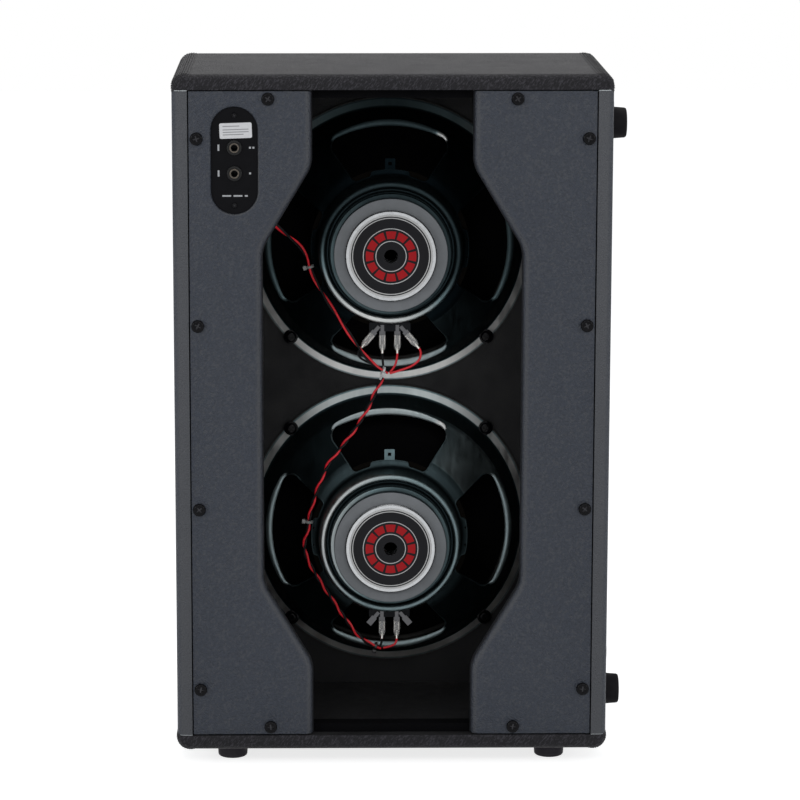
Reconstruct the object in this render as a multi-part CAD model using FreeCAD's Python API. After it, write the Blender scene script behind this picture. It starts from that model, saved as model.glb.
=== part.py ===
import FreeCAD, Part
import math
import os

# An open-backed guitar speaker cabinet that stands upright and holds two 12 inch loudspeakers.
# Millimetres. +Z is up, the open rear faces -Y and the grille faces +Y.
# The pieces are drawn about the middle of the box at floor level, and are moved at the end so that
# the origin lies on the floor under the middle of the whole object, side feet included.

V = FreeCAD.Vector

# Cabinet box
BOX_WIDTH = 450.0
BOX_DEPTH = 250.0
BOARD = 16.0
EDGE_ROUND = 7.5

# Baffle, its cleats and the grille
BAFFLE_THICK = 16.0
BAFFLE_SET_BACK = 26.0
BAFFLE_FIT = 0.5
BAFFLE_CLEAT = 18.0
GRILLE_BAR = 30.0
GRILLE_THICK = 12.0
GRILLE_FIT = 3.0
GRILLE_CORNER = 10.0
CLOTH_THICK = 0.8
BAFFLE_SCREW_INSET = 9.0
BAFFLE_SCREW_ROWS = 4
BAFFLE_SCREW_LENGTH = 30.0

# Rear panels and the cleats that carry them
PANEL_THICK = 12.0
PANEL_RECESS = 1.0
PANEL_GAP = 1.0
PANEL_EDGE_ROUND = 5.0
PANEL_CORNER = 8.0
PANEL_SIDE_CORNER = 2.0
PANEL_WAIST_WIDTH = 75.0
PANEL_END_WIDTH = 126.0
PANEL_END_LENGTH = 77.0
PANEL_STEP_LENGTH = 85.0
OPENING_BEND = 32.0
REAR_CLEAT = 18.0
CLEAT_RELIEF_HEIGHT = 9.0
PANEL_SCREW_INSET = 8.0
PANEL_SCREW_FROM_END = 48.5
PANEL_SCREW_ROWS = 4
PANEL_SCREW_TOP_INSET = 81.0
PANEL_SCREW_LENGTH = 26.0

# Wood screws, by shank radius, head radius and head height
PANEL_SCREW = (2.0, 6.4, 3.2)
BAFFLE_SCREW = (2.0, 4.0, 2.4)
PLATE_SCREW = (1.4, 3.0, 1.6)
FOOT_SCREW = (2.2, 4.6, 3.0)
SCREW_FIT = 0.15
SCREW_TIP = 2.2
SCREW_HEAD_RIM = 0.3
SCREW_HEAD_CROWN = 0.62

# Jack dish in the left rear panel
DISH_FROM_SIDE = 47.6
DISH_BELOW_TOP = 88.0
DISH_WIDTH = 48.0
DISH_HEIGHT = 110.0
DISH_DEPTH = 5.0
DISH_WAY_WIDTH = 30.0
DISH_WAY_HEIGHT = 62.0
PLATE_THICK = 2.0
PLATE_FIT = 0.4
PLATE_SCREW_SPACING = 92.0
PLATE_SCREW_LENGTH = 8.0
JACK_SPACING = 26.3
JACK_BODY = 20.0
JACK_BODY_DEPTH = 22.0
JACK_BODY_ROUND = 2.0
JACK_BUSH_RADIUS = 5.5
JACK_BUSH_PROUD = 3.4
JACK_BORE_RADIUS = 3.25
JACK_END_WALL = 3.4
JACK_NUT_RADIUS = 7.8
JACK_NUT_THICK = 2.6
JACK_FIT = 0.2
LUG_WIDTH = 3.0
LUG_THICK = 0.8
LUG_LENGTH = 6.0
LUG_SPACING = 6.0

# Rubber feet
FOOT_HEIGHT = 18.0
FOOT_RADIUS = 16.5
FOOT_TIP_RADIUS = 15.3
FOOT_ROUND = 2.5
FOOT_WELL_RADIUS = 7.0
FOOT_WELL_DEPTH = 9.0
FOOT_WASHER_THICK = 1.4
FOOT_SCREW_BITE = 12.0
FOOT_FROM_REAR = 45.0
FLOOR_FOOT_INSET = 57.0
SIDE_FOOT_FROM_END = 54.0

# Loudspeakers. Their profiles are in radius and in distance behind the baffle's rear face.
SPEAKER_GAP = 4.0
SPEAKER_END_GAP = 27.0
SPEAKER_HOLE_STEP = 1.3
GASKET_THICK = 2.5
GASKET_STEP = 1.7
SHEET = 1.4
FLANGE_RADIUS = 155.0
FLANGE_BEND = 2.0
WALL_LEAN = 10.3
WALL_TOP_BACK = 29.0
WALL_BEND = 6.0
LANDING_BACK = 70.0
LANDING_WIDTH = 12.0
LANDING_BEND = 5.0
CUP_RADIUS = 74.5
CUP_LEAN = 2.0
CUP_FOOT_BEND = 2.5
CUP_BACK = 105.0
CUP_ROUND = 6.5
CUP_HOLE_STEP = 2.6
WINDOW_LAND = 4.5
WINDOW_STEP = 2.5
SPOKE_OUTER_ROOM = 22.5
SPOKE_INNER_ROOM = 16.86
WINDOW_ROUND = 7.0
WINDOW_BEAD = 2.4
BOSS_HALF_WIDTH = 23.0
BOSS_STEP = 1.5
BOSS_ROUND = 5.0
TIE_HOLE_RADIUS = 1.6
TIE_HOLE_SPACING = 19.0
TIE_HOLE_STEP = 6.0
TAG_WIDTH = 11.0
TAG_LENGTH = 14.0
TAG_HOLE_RADIUS = 1.8
BOLTS = 4
BOLT_EDGE = 4.8
BOLT_RADIUS = 2.5
BOLT_HEAD_RADIUS = 5.8
BOLT_HEAD_HEIGHT = 4.5
BOLT_HEAD_RIM = 2.0
BOLT_HEAD_CROWN = 3.5
BOLT_HEAD_ROOM = 1.6
BOLT_HOLE_FIT = 0.3
BOLT_BEYOND_BAFFLE = 3.0
TEE_NUT_RADIUS = 9.5
TEE_NUT_THICK = 1.4
TEE_BARREL_RADIUS = 3.9
TEE_BARREL_LENGTH = 9.0
FRONT_PLATE_RADIUS = 64.0
FRONT_PLATE_THICK = 8.0
FRONT_PLATE_CHAMFER = 1.0
MAGNET_RADIUS = 60.0
MAGNET_HOLE_RADIUS = 30.0
MAGNET_THICK = 9.0
MAGNET_CHAMFER = 1.2
BACK_PLATE_RADIUS = 48.0
BACK_PLATE_THICK = 6.0
BACK_PLATE_CHAMFER = 1.0
POLE_FIT = 0.5
VENT_RADIUS = 7.25
LABEL_RADIUS = 44.0
LABEL_THICK = 0.3
FORMER_RADIUS = 22.0
FORMER_WALL = 0.4
FORMER_ABOVE_NECK = 6.0
FORMER_BELOW_WINDING = 1.0
WINDING_WALL = 0.5
WINDING_LENGTH = 10.0
GAP_FIT = 0.5
CONE_EDGE_STEP = 14.5
CONE_EDGE_BACK = 3.4
CONE_MIDDLE_STEP = 2.725
CONE_SAG = 4.7
CONE_NECK_STEP = 10.0
CONE_WALL = 0.9
CONE_SWEEP = 160.0
SURROUND_ROLL = 4.0
SURROUND_ROLLS = 2
SURROUND_WALL = 0.8
SURROUND_SEAT = 4.2
SURROUND_RIM = 8.2
SURROUND_LAP = 4.0
SURROUND_STEP = 0.2
SURROUND_START = 1.0
SOFT_BEND = 1.0
WAVE_BEND = 1.6
DUST_CAP_RADIUS = 31.0
DUST_CAP_RISE = 11.0
DUST_CAP_WALL = 0.8
SPIDER_STEP = 3.5
SPIDER_RIM = 7.0
SPIDER_WAVES = 6
SPIDER_WAVE_HEIGHT = 3.0
SPIDER_WALL = 0.8
SPIDER_COLLAR = 3.0
GLUE_GAP = 0.05

# Terminal boards, their tabs and the push-on connectors
TERMINAL_WIDTH = 44.0
TERMINAL_HEIGHT = 9.5
TERMINAL_THICK = 2.0
TERMINAL_FIT = 0.5
TERMINAL_ROUND = 1.5
RIVET_RADIUS = 2.2
RIVET_PROUD = 1.2
TAB_WIDTH = 6.3
TAB_THICK = 0.8
TAB_LENGTH = 10.0
TAB_ROOT = 7.0
TAB_ROOT_WIDTH = 3.8
TAB_X = 8.0
SPLAYED_TAB_X = 16.0
SPLAY_ANGLE = 40.0
CONNECTOR_WIDTH = 7.6
CONNECTOR_THICK = 4.4
CONNECTOR_LENGTH = 14.0
CONNECTOR_START = 3.6
CONNECTOR_ROUND = 1.4
CONNECTOR_BARREL_RADIUS = 2.3
CONNECTOR_BARREL_LENGTH = 7.5
CONNECTOR_TAB_FIT = 0.2

# Leads: twisted pairs drawn as plain round leads, single wires at the terminals, and nylon ties
PAIR_RADIUS = 3.2
WIRE_RADIUS = 1.5
ROUTE_SHARE = 0.45
TIE_WIDTH = 2.6
TIE_WALL = 1.1
TIE_FIT = 0.25
TIE_HEAD = 4.0
TIE_LIP = 0.6
TIE_TAIL = 6.0
TAIL_START = 4.0
TINSEL_RADIUS = 0.9
TINSEL_FIT = 0.3
TINSEL_LAND_FIT = 0.7
TINSEL_LAND_STEP = 16.0
TINSEL_DROP = 2.2
TINSEL_SAG = [(10.0, -3.2), (20.0, 3.0)]

# Values that follow from the sizes above
BOX_HEIGHT = 2 * BOARD + 4 * FLANGE_RADIUS + SPEAKER_GAP + 2 * SPEAKER_END_GAP
FLOOR = FOOT_HEIGHT
TOP = FLOOR + BOX_HEIGHT
MIDDLE = FLOOR + BOX_HEIGHT / 2
HALF_WIDTH = BOX_WIDTH / 2
REAR = -BOX_DEPTH / 2
FRONT = BOX_DEPTH / 2
INNER_X = HALF_WIDTH - BOARD
INNER_LOW = FLOOR + BOARD
INNER_HIGH = TOP - BOARD
PANEL_SIDE = INNER_X - PANEL_GAP
OPENING_WIDE = PANEL_SIDE - PANEL_WAIST_WIDTH
OPENING_NARROW = PANEL_SIDE - PANEL_END_WIDTH
PANEL_HALF_HEIGHT = (INNER_HIGH - INNER_LOW) / 2 - PANEL_GAP
OPENING_NARROW_HALF_HEIGHT = PANEL_HALF_HEIGHT - PANEL_END_LENGTH
OPENING_WIDE_HALF_HEIGHT = OPENING_NARROW_HALF_HEIGHT - PANEL_STEP_LENGTH
FLOOR_FOOT_X = HALF_WIDTH - FLOOR_FOOT_INSET
BAFFLE_FRONT = FRONT - BAFFLE_SET_BACK
BAFFLE_REAR = BAFFLE_FRONT - BAFFLE_THICK
PANEL_REAR = REAR + PANEL_RECESS
PANEL_FRONT = PANEL_REAR + PANEL_THICK
CLEAT_FRONT = PANEL_FRONT + REAR_CLEAT
DISH_X = -INNER_X + DISH_FROM_SIDE
DISH_Z = TOP - DISH_BELOW_TOP
DISH_FLOOR = PANEL_REAR + DISH_DEPTH
PLATE_REAR = DISH_FLOOR - PLATE_THICK
JACK_FRONT = DISH_FLOOR + JACK_BODY_DEPTH
JACK_MOUTH = PLATE_REAR - JACK_BUSH_PROUD
FLANGE_BACK = GASKET_THICK + SHEET
BOLT_RING_RADIUS = FLANGE_RADIUS - BOLT_EDGE
FLANGE_INNER_RADIUS = BOLT_RING_RADIUS - BOLT_HEAD_RADIUS - BOLT_HEAD_ROOM
SPEAKER_HOLE_RADIUS = FLANGE_INNER_RADIUS - SPEAKER_HOLE_STEP
GASKET_INNER_RADIUS = FLANGE_INNER_RADIUS + GASKET_STEP
SURROUND_OUTER_RADIUS = FLANGE_INNER_RADIUS + SURROUND_SEAT
WALL_TOP_RADIUS = FLANGE_INNER_RADIUS - WALL_LEAN
WINDOW_OUTER_RADIUS = WALL_TOP_RADIUS - WINDOW_LAND
CUP_FOOT_RADIUS = CUP_RADIUS + CUP_LEAN
SPOKE_INNER_RADIUS = CUP_FOOT_RADIUS + LANDING_WIDTH
WINDOW_INNER_RADIUS = CUP_FOOT_RADIUS + WINDOW_STEP
WINDOW_OUTER_HALF = WINDOW_OUTER_RADIUS * math.sqrt(0.5) - SPOKE_OUTER_ROOM
WINDOW_INNER_HALF = WINDOW_INNER_RADIUS * math.sqrt(0.5) - SPOKE_INNER_ROOM
BOSS_RADIUS = SPOKE_INNER_RADIUS - BOSS_STEP
SPIDER_RADIUS = SPOKE_INNER_RADIUS - SPIDER_STEP
TERMINAL_EDGE = CUP_FOOT_RADIUS + CUP_FOOT_BEND + TERMINAL_FIT + TERMINAL_HEIGHT
FORMER_OUTER_RADIUS = FORMER_RADIUS + FORMER_WALL
GAP_OUTER_RADIUS = FORMER_OUTER_RADIUS + WINDING_WALL + GAP_FIT
POLE_RADIUS = FORMER_RADIUS - POLE_FIT
CONE_EDGE_RADIUS = SPEAKER_HOLE_RADIUS - CONE_EDGE_STEP
CONE_NECK_RADIUS = FORMER_OUTER_RADIUS + GLUE_GAP
CONE_NECK_BACK = LANDING_BACK - CONE_NECK_STEP
CONE_MIDDLE_RADIUS = (CONE_EDGE_RADIUS + CONE_NECK_RADIUS) / 2 - CONE_MIDDLE_STEP
CONE_MIDDLE_BACK = (CONE_EDGE_BACK + CONE_NECK_BACK) / 2 - CONE_SAG
PLATE_BACK = CUP_BACK + FRONT_PLATE_THICK
MAGNET_BACK = PLATE_BACK + MAGNET_THICK
LABEL_BACK = MAGNET_BACK + BACK_PLATE_THICK
SPEAKER_REACH = FLANGE_RADIUS + SPEAKER_GAP / 2
SPEAKER_HEIGHTS = {"upper": MIDDLE + SPEAKER_REACH, "lower": MIDDLE - SPEAKER_REACH}
SCREW_PROUD = max(PANEL_SCREW[2] - PANEL_RECESS, 0.0)
ORIGIN_SHIFT = V(-FOOT_HEIGHT / 2, SCREW_PROUD / 2, 0)
CUT_PAST = 9.0
TINY = 1e-6

parts = {}


# Drawing helpers


def block(x0, x1, y0, y1, z0, z1):
    return Part.makeBox(x1 - x0, y1 - y0, z1 - z0, V(x0, y0, z0))


def rod_y(radius, y0, y1, x=0.0, z=0.0):
    return Part.makeCylinder(radius, y1 - y0, V(x, y0, z), V(0, 1, 0))


def outline(corners, place):
    """A closed wire through corners given as (a, b, rounding), set in space by place(a, b)."""
    spans = []
    for i, (a, b, rounding) in enumerate(corners):
        here = V(a, b, 0)
        last = V(corners[i - 1][0], corners[i - 1][1], 0)
        after = corners[(i + 1) % len(corners)]
        to_last = (last - here).normalize()
        to_next = (V(after[0], after[1], 0) - here).normalize()
        half = to_last.getAngle(to_next) / 2
        if rounding == 0 or half > math.pi / 2 - TINY:
            spans.append((here, None, here))
            continue
        centre = here + (to_last + to_next).normalize() * (rounding / math.sin(half))
        reach = rounding / math.tan(half)
        middle = centre + (here - centre).normalize() * rounding
        spans.append((here + to_last * reach, middle, here + to_next * reach))
    edges = []
    for i, (start, middle, end) in enumerate(spans):
        if middle is not None:
            arc = Part.Arc(place(start.x, start.y), place(middle.x, middle.y), place(end.x, end.y))
            edges.append(arc.toShape())
        following = spans[(i + 1) % len(spans)][0]
        if end.distanceToPoint(following) > TINY:
            line = Part.LineSegment(place(end.x, end.y), place(following.x, following.y))
            edges.append(line.toShape())
    return Part.Wire(edges)


def prism_y(corners, y0, y1):
    """An outline in X and Z, drawn out along Y."""
    face = Part.Face(outline(corners, lambda x, z: V(x, y0, z)))
    return face.extrude(V(0, y1 - y0, 0))


def turned(corners):
    """An outline in radius and distance behind the baffle, turned about the Y axis."""
    face = Part.Face(outline(corners, lambda r, back: V(r, -back, 0)))
    return face.revolve(V(0, 0, 0), V(0, 1, 0), 360)


def ring(inner, outer, back0, back1):
    """A plain turned ring."""
    return turned([(inner, back0, 0), (outer, back0, 0), (outer, back1, 0), (inner, back1, 0)])


def eased_ring(inner, outer, back0, back1, chamfer):
    """A turned ring whose two outer edges have a chamfer."""
    edge = outer - chamfer
    sides = [(inner, back0), (edge, back0), (outer, back0 + chamfer)]
    sides += [(outer, back1 - chamfer), (edge, back1), (inner, back1)]
    return turned([(r, back, 0) for r, back in sides])


def offset_line(points, distance):
    """The open line again, moved sideways by a distance, with mitred corners."""
    moved = []
    for i, (a, b, rounding) in enumerate(points):
        normals = []
        for first, second in ((i - 1, i), (i, i + 1)):
            if first >= 0 and second < len(points):
                along = V(points[second][0] - points[first][0], points[second][1] - points[first][1], 0)
                along.normalize()
                normals.append(V(-along.y, along.x, 0))
        mean = sum(normals, V(0, 0, 0)).normalize()
        step = mean * (distance / mean.dot(normals[0]))
        moved.append((a + step.x, b + step.y, rounding))
    return moved


def sheet_section(points, wall):
    """The closed section of a sheet whose one face follows the points, with concentric rounding."""
    other = offset_line(points, wall)
    section = [(a, b, r) for a, b, r in points]
    for i in range(len(points) - 1, -1, -1):
        a, b, rounding = other[i]
        if 0 < i < len(points) - 1 and rounding:
            before = V(points[i][0] - points[i - 1][0], points[i][1] - points[i - 1][1], 0)
            after = V(points[i + 1][0] - points[i][0], points[i + 1][1] - points[i][1], 0)
            turns_left = before.x * after.y - before.y * after.x > 0
            rounding += -wall if turns_left else wall
        section.append((a, b, max(rounding, 0.0)))
    return section


def screw(spec, length, at, direction):
    """A wood screw with a low domed head, whose head seats at a point and whose shank runs on."""
    shank, head, height = spec
    straight = length - shank * SCREW_TIP
    crown = head * SCREW_HEAD_CROWN
    corners = [(0, length), (shank, straight), (shank, 0), (head, 0), (head, -height * SCREW_HEAD_RIM)]
    corners += [(crown, -height), (0, -height)]
    wire = outline([(r, h, 0) for r, h in corners], lambda r, h: V(r, 0, h))
    return aimed(Part.Face(wire).revolve(V(0, 0, 0), V(0, 0, 1), 360), at, direction)


def aimed(shape, at, direction):
    """A shape drawn along +Z at the origin, turned to a direction and moved to a point."""
    turn = FreeCAD.Rotation(V(0, 0, 1), direction)
    shape.Placement = FreeCAD.Placement(at, turn)
    return shape


def group(shapes):
    return shapes[0] if len(shapes) == 1 else Part.makeCompound(shapes)


# Cabinet boards


def foot_places():
    """Where the feet sit: (point on the board's face, direction out of the cabinet)."""
    rows = (REAR + FOOT_FROM_REAR, FRONT - FOOT_FROM_REAR)
    floor_feet = [(V(x, y, FLOOR), V(0, 0, -1)) for x in (-FLOOR_FOOT_X, FLOOR_FOOT_X) for y in rows]
    ends = (FLOOR + SIDE_FOOT_FROM_END, TOP - SIDE_FOOT_FROM_END)
    side_feet = [(V(HALF_WIDTH, y, z), V(1, 0, 0)) for z in ends for y in rows]
    return floor_feet, side_feet


def cabinet_boards():
    """Top and bottom boards run over the sides, and every outer edge is rounded."""
    outer = block(-HALF_WIDTH, HALF_WIDTH, REAR, FRONT, FLOOR, TOP)
    outer = outer.makeFillet(EDGE_ROUND, outer.Edges)
    big = BOX_HEIGHT
    cuts = {
        "top_board": block(-big, big, -big, big, INNER_HIGH, TOP + big),
        "bottom_board": block(-big, big, -big, big, FLOOR - big, INNER_LOW),
        "left_side_board": block(-big, -INNER_X, -big, big, INNER_LOW, INNER_HIGH),
        "right_side_board": block(INNER_X, big, -big, big, INNER_LOW, INNER_HIGH),
    }
    boards = {name: outer.common(cut) for name, cut in cuts.items()}
    floor_feet, side_feet = foot_places()
    pilot = FOOT_SCREW[0] + SCREW_FIT
    deep = FOOT_SCREW_BITE + SCREW_FIT
    for name, places in (("bottom_board", floor_feet), ("right_side_board", side_feet)):
        for at, out in places:
            boards[name] = boards[name].cut(Part.makeCylinder(pilot, deep, at, -out))
    return boards


# Baffle and grille


def bolt_ring():
    """Bolt centres of one loudspeaker, across and up from its axis."""
    angles = [2 * math.pi * (i + 0.5) / BOLTS for i in range(BOLTS)]
    return [(BOLT_RING_RADIUS * math.cos(a), BOLT_RING_RADIUS * math.sin(a)) for a in angles]


def bolt_places():
    """Bolt centres of both loudspeakers, in X and Z."""
    return [(x, height + z) for height in SPEAKER_HEIGHTS.values() for x, z in bolt_ring()]


def baffle_screw_places():
    x = INNER_X - BAFFLE_SCREW_INSET
    step = (INNER_HIGH - INNER_LOW) / BAFFLE_SCREW_ROWS
    heights = [INNER_LOW + step * (row + 0.5) for row in range(BAFFLE_SCREW_ROWS)]
    return [(side * x, z) for side in (-1, 1) for z in heights]


def baffle_pieces():
    reach = INNER_X - BAFFLE_FIT
    board = block(-reach, reach, BAFFLE_REAR, BAFFLE_FRONT, INNER_LOW + BAFFLE_FIT, INNER_HIGH - BAFFLE_FIT)
    for height in SPEAKER_HEIGHTS.values():
        board = board.cut(rod_y(SPEAKER_HOLE_RADIUS, BAFFLE_REAR - 1, BAFFLE_FRONT + 1, 0, height))
    for x, z in bolt_places():
        board = board.cut(rod_y(TEE_BARREL_RADIUS + SCREW_FIT, BAFFLE_REAR - 1, BAFFLE_FRONT + 1, x, z))
    cleats = []
    for side in (-1, 1):
        near, far = sorted((side * INNER_X, side * (INNER_X - BAFFLE_CLEAT)))
        cleats.append(block(near, far, BAFFLE_REAR - BAFFLE_CLEAT, BAFFLE_REAR, INNER_LOW, INNER_HIGH))
    screws = []
    shank, head, height = BAFFLE_SCREW
    for x, z in baffle_screw_places():
        seat = V(x, BAFFLE_FRONT - height, z)
        way = rod_y(shank + SCREW_FIT, BAFFLE_REAR - BAFFLE_CLEAT - 1, BAFFLE_FRONT, x, z)
        well = rod_y(head + SCREW_FIT, BAFFLE_FRONT - height, BAFFLE_FRONT, x, z)
        board = board.cut(way.fuse(well))
        cleats = [cleat.cut(way) for cleat in cleats]
        screws.append(screw(BAFFLE_SCREW, BAFFLE_SCREW_LENGTH - height, seat, V(0, -1, 0)))
    return {"baffle_board": board, "baffle_cleats": group(cleats), "baffle_screws": group(screws)}


def grille_pieces():
    """A frame of flat bars with a bar between the loudspeakers, and cloth over its front."""
    reach = INNER_X - GRILLE_FIT
    low, high = INNER_LOW + GRILLE_FIT, INNER_HIGH - GRILLE_FIT
    frame = block(-reach, reach, BAFFLE_FRONT, BAFFLE_FRONT + GRILLE_THICK, low, high)
    inside = reach - GRILLE_BAR
    for z0, z1 in ((low + GRILLE_BAR, MIDDLE - GRILLE_BAR / 2), (MIDDLE + GRILLE_BAR / 2, high - GRILLE_BAR)):
        corners = [(-inside, z0), (inside, z0), (inside, z1), (-inside, z1)]
        corners = [(x, z, GRILLE_CORNER) for x, z in corners]
        frame = frame.cut(prism_y(corners, BAFFLE_FRONT - 1, BAFFLE_FRONT + GRILLE_THICK + 1))
    face = BAFFLE_FRONT + GRILLE_THICK
    cloth = block(-reach, reach, face, face + CLOTH_THICK, low, high)
    return {"grille_frame": frame, "grille_cloth": cloth}


# Rear panels, their cleats, and the jack dish


def panel_screw_places():
    """Screw centres of one panel, counted from the middle of the box outwards."""
    side = PANEL_SIDE - PANEL_SCREW_INSET
    inset = PANEL_SIDE - PANEL_SCREW_TOP_INSET
    first = PANEL_HALF_HEIGHT - PANEL_SCREW_FROM_END
    spacing = 2 * first / (PANEL_SCREW_ROWS - 1)
    places = [(side, MIDDLE - first + spacing * row) for row in range(PANEL_SCREW_ROWS)]
    end = PANEL_HALF_HEIGHT - PANEL_SCREW_INSET
    return places + [(inset, MIDDLE + end), (inset, MIDDLE - end)]


def rear_panel(side):
    """One of the two mirrored panels. Its inner edge steps outwards past the loudspeakers."""
    half = [
        (PANEL_SIDE, PANEL_HALF_HEIGHT, PANEL_SIDE_CORNER),
        (OPENING_NARROW, PANEL_HALF_HEIGHT, PANEL_CORNER),
        (OPENING_NARROW, OPENING_NARROW_HALF_HEIGHT, OPENING_BEND),
        (OPENING_WIDE, OPENING_WIDE_HALF_HEIGHT, OPENING_BEND),
    ]
    corners = half + [(x, -z, r) for x, z, r in reversed(half)]
    corners = [(side * x, MIDDLE + z, r) for x, z, r in corners]
    panel = prism_y(corners, PANEL_REAR, PANEL_FRONT)
    rims = [e for e in panel.Edges if e.BoundBox.YMax < PANEL_REAR + TINY]
    inner = [e for e in rims if abs(e.CenterOfMass.x) < PANEL_SIDE - 1]
    panel = panel.makeFillet(PANEL_EDGE_ROUND, inner)
    for x, z in panel_screw_places():
        panel = panel.cut(rod_y(PANEL_SCREW[0] + SCREW_FIT, PANEL_REAR - 1, PANEL_FRONT + 1, side * x, z))
    return panel


def stadium(width, height, y0, y1):
    """An upright slot shape with round ends, at the dish."""
    half, end = width / 2, height / 2
    corners = [(-half, -end), (half, -end), (half, end), (-half, end)]
    return prism_y([(DISH_X + x, DISH_Z + z, half) for x, z in corners], y0, y1)


def plate_screw_places():
    return [(DISH_X, DISH_Z + side * PLATE_SCREW_SPACING / 2) for side in (-1, 1)]


def jack_heights():
    return {"jack_upper": DISH_Z + JACK_SPACING / 2, "jack_lower": DISH_Z - JACK_SPACING / 2}


def jack(z):
    """A quarter inch jack socket: moulded body, threaded bush, and two solder lugs."""
    half = JACK_BODY / 2
    corners = [(-half, -half), (half, -half), (half, half), (-half, half)]
    body = prism_y([(DISH_X + x, z + h, JACK_BODY_ROUND) for x, h in corners], DISH_FLOOR, JACK_FRONT)
    bush = rod_y(JACK_BUSH_RADIUS, JACK_MOUTH, DISH_FLOOR, DISH_X, z)
    shape = body.fuse(bush)
    for x in (-LUG_SPACING / 2, LUG_SPACING / 2):
        left = DISH_X + x - LUG_WIDTH / 2
        lug = block(left, left + LUG_WIDTH, JACK_FRONT, JACK_FRONT + LUG_LENGTH, z, z + LUG_THICK)
        shape = shape.fuse(lug)
    return shape.cut(rod_y(JACK_BORE_RADIUS, JACK_MOUTH, JACK_FRONT - JACK_END_WALL, DISH_X, z))


def rear_pieces():
    left, right = rear_panel(-1), rear_panel(1)
    pocket = stadium(DISH_WIDTH, DISH_HEIGHT, PANEL_REAR - 1, DISH_FLOOR)
    hole = stadium(DISH_WAY_WIDTH, DISH_WAY_HEIGHT, PANEL_REAR - 1, PANEL_FRONT + 1)
    left = left.cut(pocket.fuse(hole))
    plate = stadium(DISH_WIDTH - 2 * PLATE_FIT, DISH_HEIGHT - 2 * PLATE_FIT, PLATE_REAR, DISH_FLOOR)
    plate_screws = []
    for x, z in plate_screw_places():
        bore = rod_y(PLATE_SCREW[0] + SCREW_FIT, PLATE_REAR - 1, PANEL_FRONT + 1, x, z)
        plate = plate.cut(bore)
        left = left.cut(bore)
        plate_screws.append(screw(PLATE_SCREW, PLATE_SCREW_LENGTH, V(x, PLATE_REAR, z), V(0, 1, 0)))
    pieces, nuts = {}, []
    for name, z in jack_heights().items():
        pieces[name] = jack(z)
        plate = plate.cut(rod_y(JACK_BUSH_RADIUS + JACK_FIT, PLATE_REAR - 1, DISH_FLOOR + 1, DISH_X, z))
        nut = rod_y(JACK_NUT_RADIUS, PLATE_REAR - JACK_NUT_THICK, PLATE_REAR, DISH_X, z)
        way = rod_y(JACK_BUSH_RADIUS + SCREW_FIT, PLATE_REAR - CUT_PAST, PLATE_REAR + CUT_PAST, DISH_X, z)
        nuts.append(nut.cut(way))
    pieces["jack_nuts"] = group(nuts)
    pieces["jack_plate"] = plate
    pieces["jack_plate_screws"] = group(plate_screws)
    pieces["rear_panel_left"] = left
    pieces["rear_panel_right"] = right
    pieces.update(rear_cleats())
    screws = []
    for side in (-1, 1):
        for x, z in panel_screw_places():
            screws.append(screw(PANEL_SCREW, PANEL_SCREW_LENGTH, V(side * x, PANEL_REAR, z), V(0, 1, 0)))
    pieces["rear_panel_screws"] = group(screws)
    return pieces


def rear_cleats():
    """Strips glued inside the box behind the panels. Top and bottom ones are cut down in the opening."""
    near = INNER_X - REAR_CLEAT
    cleats = {
        "rear_cleat_left": block(-INNER_X, -near, PANEL_FRONT, CLEAT_FRONT, INNER_LOW, INNER_HIGH),
        "rear_cleat_right": block(near, INNER_X, PANEL_FRONT, CLEAT_FRONT, INNER_LOW, INNER_HIGH),
        "rear_cleat_bottom": block(-near, near, PANEL_FRONT, CLEAT_FRONT, INNER_LOW, INNER_LOW + REAR_CLEAT),
        "rear_cleat_top": block(-near, near, PANEL_FRONT, CLEAT_FRONT, INNER_HIGH - REAR_CLEAT, INNER_HIGH),
    }
    gap = OPENING_NARROW
    low, high = INNER_LOW + CLEAT_RELIEF_HEIGHT, INNER_HIGH - CLEAT_RELIEF_HEIGHT
    y0, y1 = PANEL_FRONT - 1, CLEAT_FRONT + 1
    relief = {
        "rear_cleat_bottom": block(-gap, gap, y0, y1, low, INNER_LOW + REAR_CLEAT + 1),
        "rear_cleat_top": block(-gap, gap, y0, y1, INNER_HIGH - REAR_CLEAT - 1, high),
    }
    for name, cut in relief.items():
        cleats[name] = cleats[name].cut(cut)
    for name in cleats:
        for side in (-1, 1):
            for x, z in panel_screw_places():
                bore = rod_y(PANEL_SCREW[0] + SCREW_FIT, PANEL_REAR, CLEAT_FRONT + CUT_PAST, side * x, z)
                cleats[name] = cleats[name].cut(bore)
    sides = [cleats.pop("rear_cleat_left"), cleats.pop("rear_cleat_right")]
    cleats["rear_cleat_sides"] = group(sides)
    return cleats


# Rubber feet


def foot_solids():
    """A foot, its washer and its screw, drawn with the board's face at the origin and the tip along +Z."""
    well = FOOT_HEIGHT - FOOT_WELL_DEPTH
    bore = FOOT_SCREW[0] + SCREW_FIT
    corners = [
        (bore, 0, 0),
        (FOOT_RADIUS, 0, 0),
        (FOOT_TIP_RADIUS, FOOT_HEIGHT, FOOT_ROUND),
        (FOOT_WELL_RADIUS, FOOT_HEIGHT, 0),
        (FOOT_WELL_RADIUS, well, 0),
        (bore, well, 0),
    ]
    foot = Part.Face(outline(corners, lambda r, h: V(r, 0, h))).revolve(V(0, 0, 0), V(0, 0, 1), 360)
    washer = Part.makeCylinder(FOOT_WELL_RADIUS - SCREW_FIT * 2, FOOT_WASHER_THICK, V(0, 0, well))
    washer = washer.cut(Part.makeCylinder(bore, FOOT_HEIGHT))
    seat = well + FOOT_WASHER_THICK
    pin = screw(FOOT_SCREW, seat + FOOT_SCREW_BITE, V(0, 0, seat), V(0, 0, -1))
    return foot, washer, pin


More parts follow.
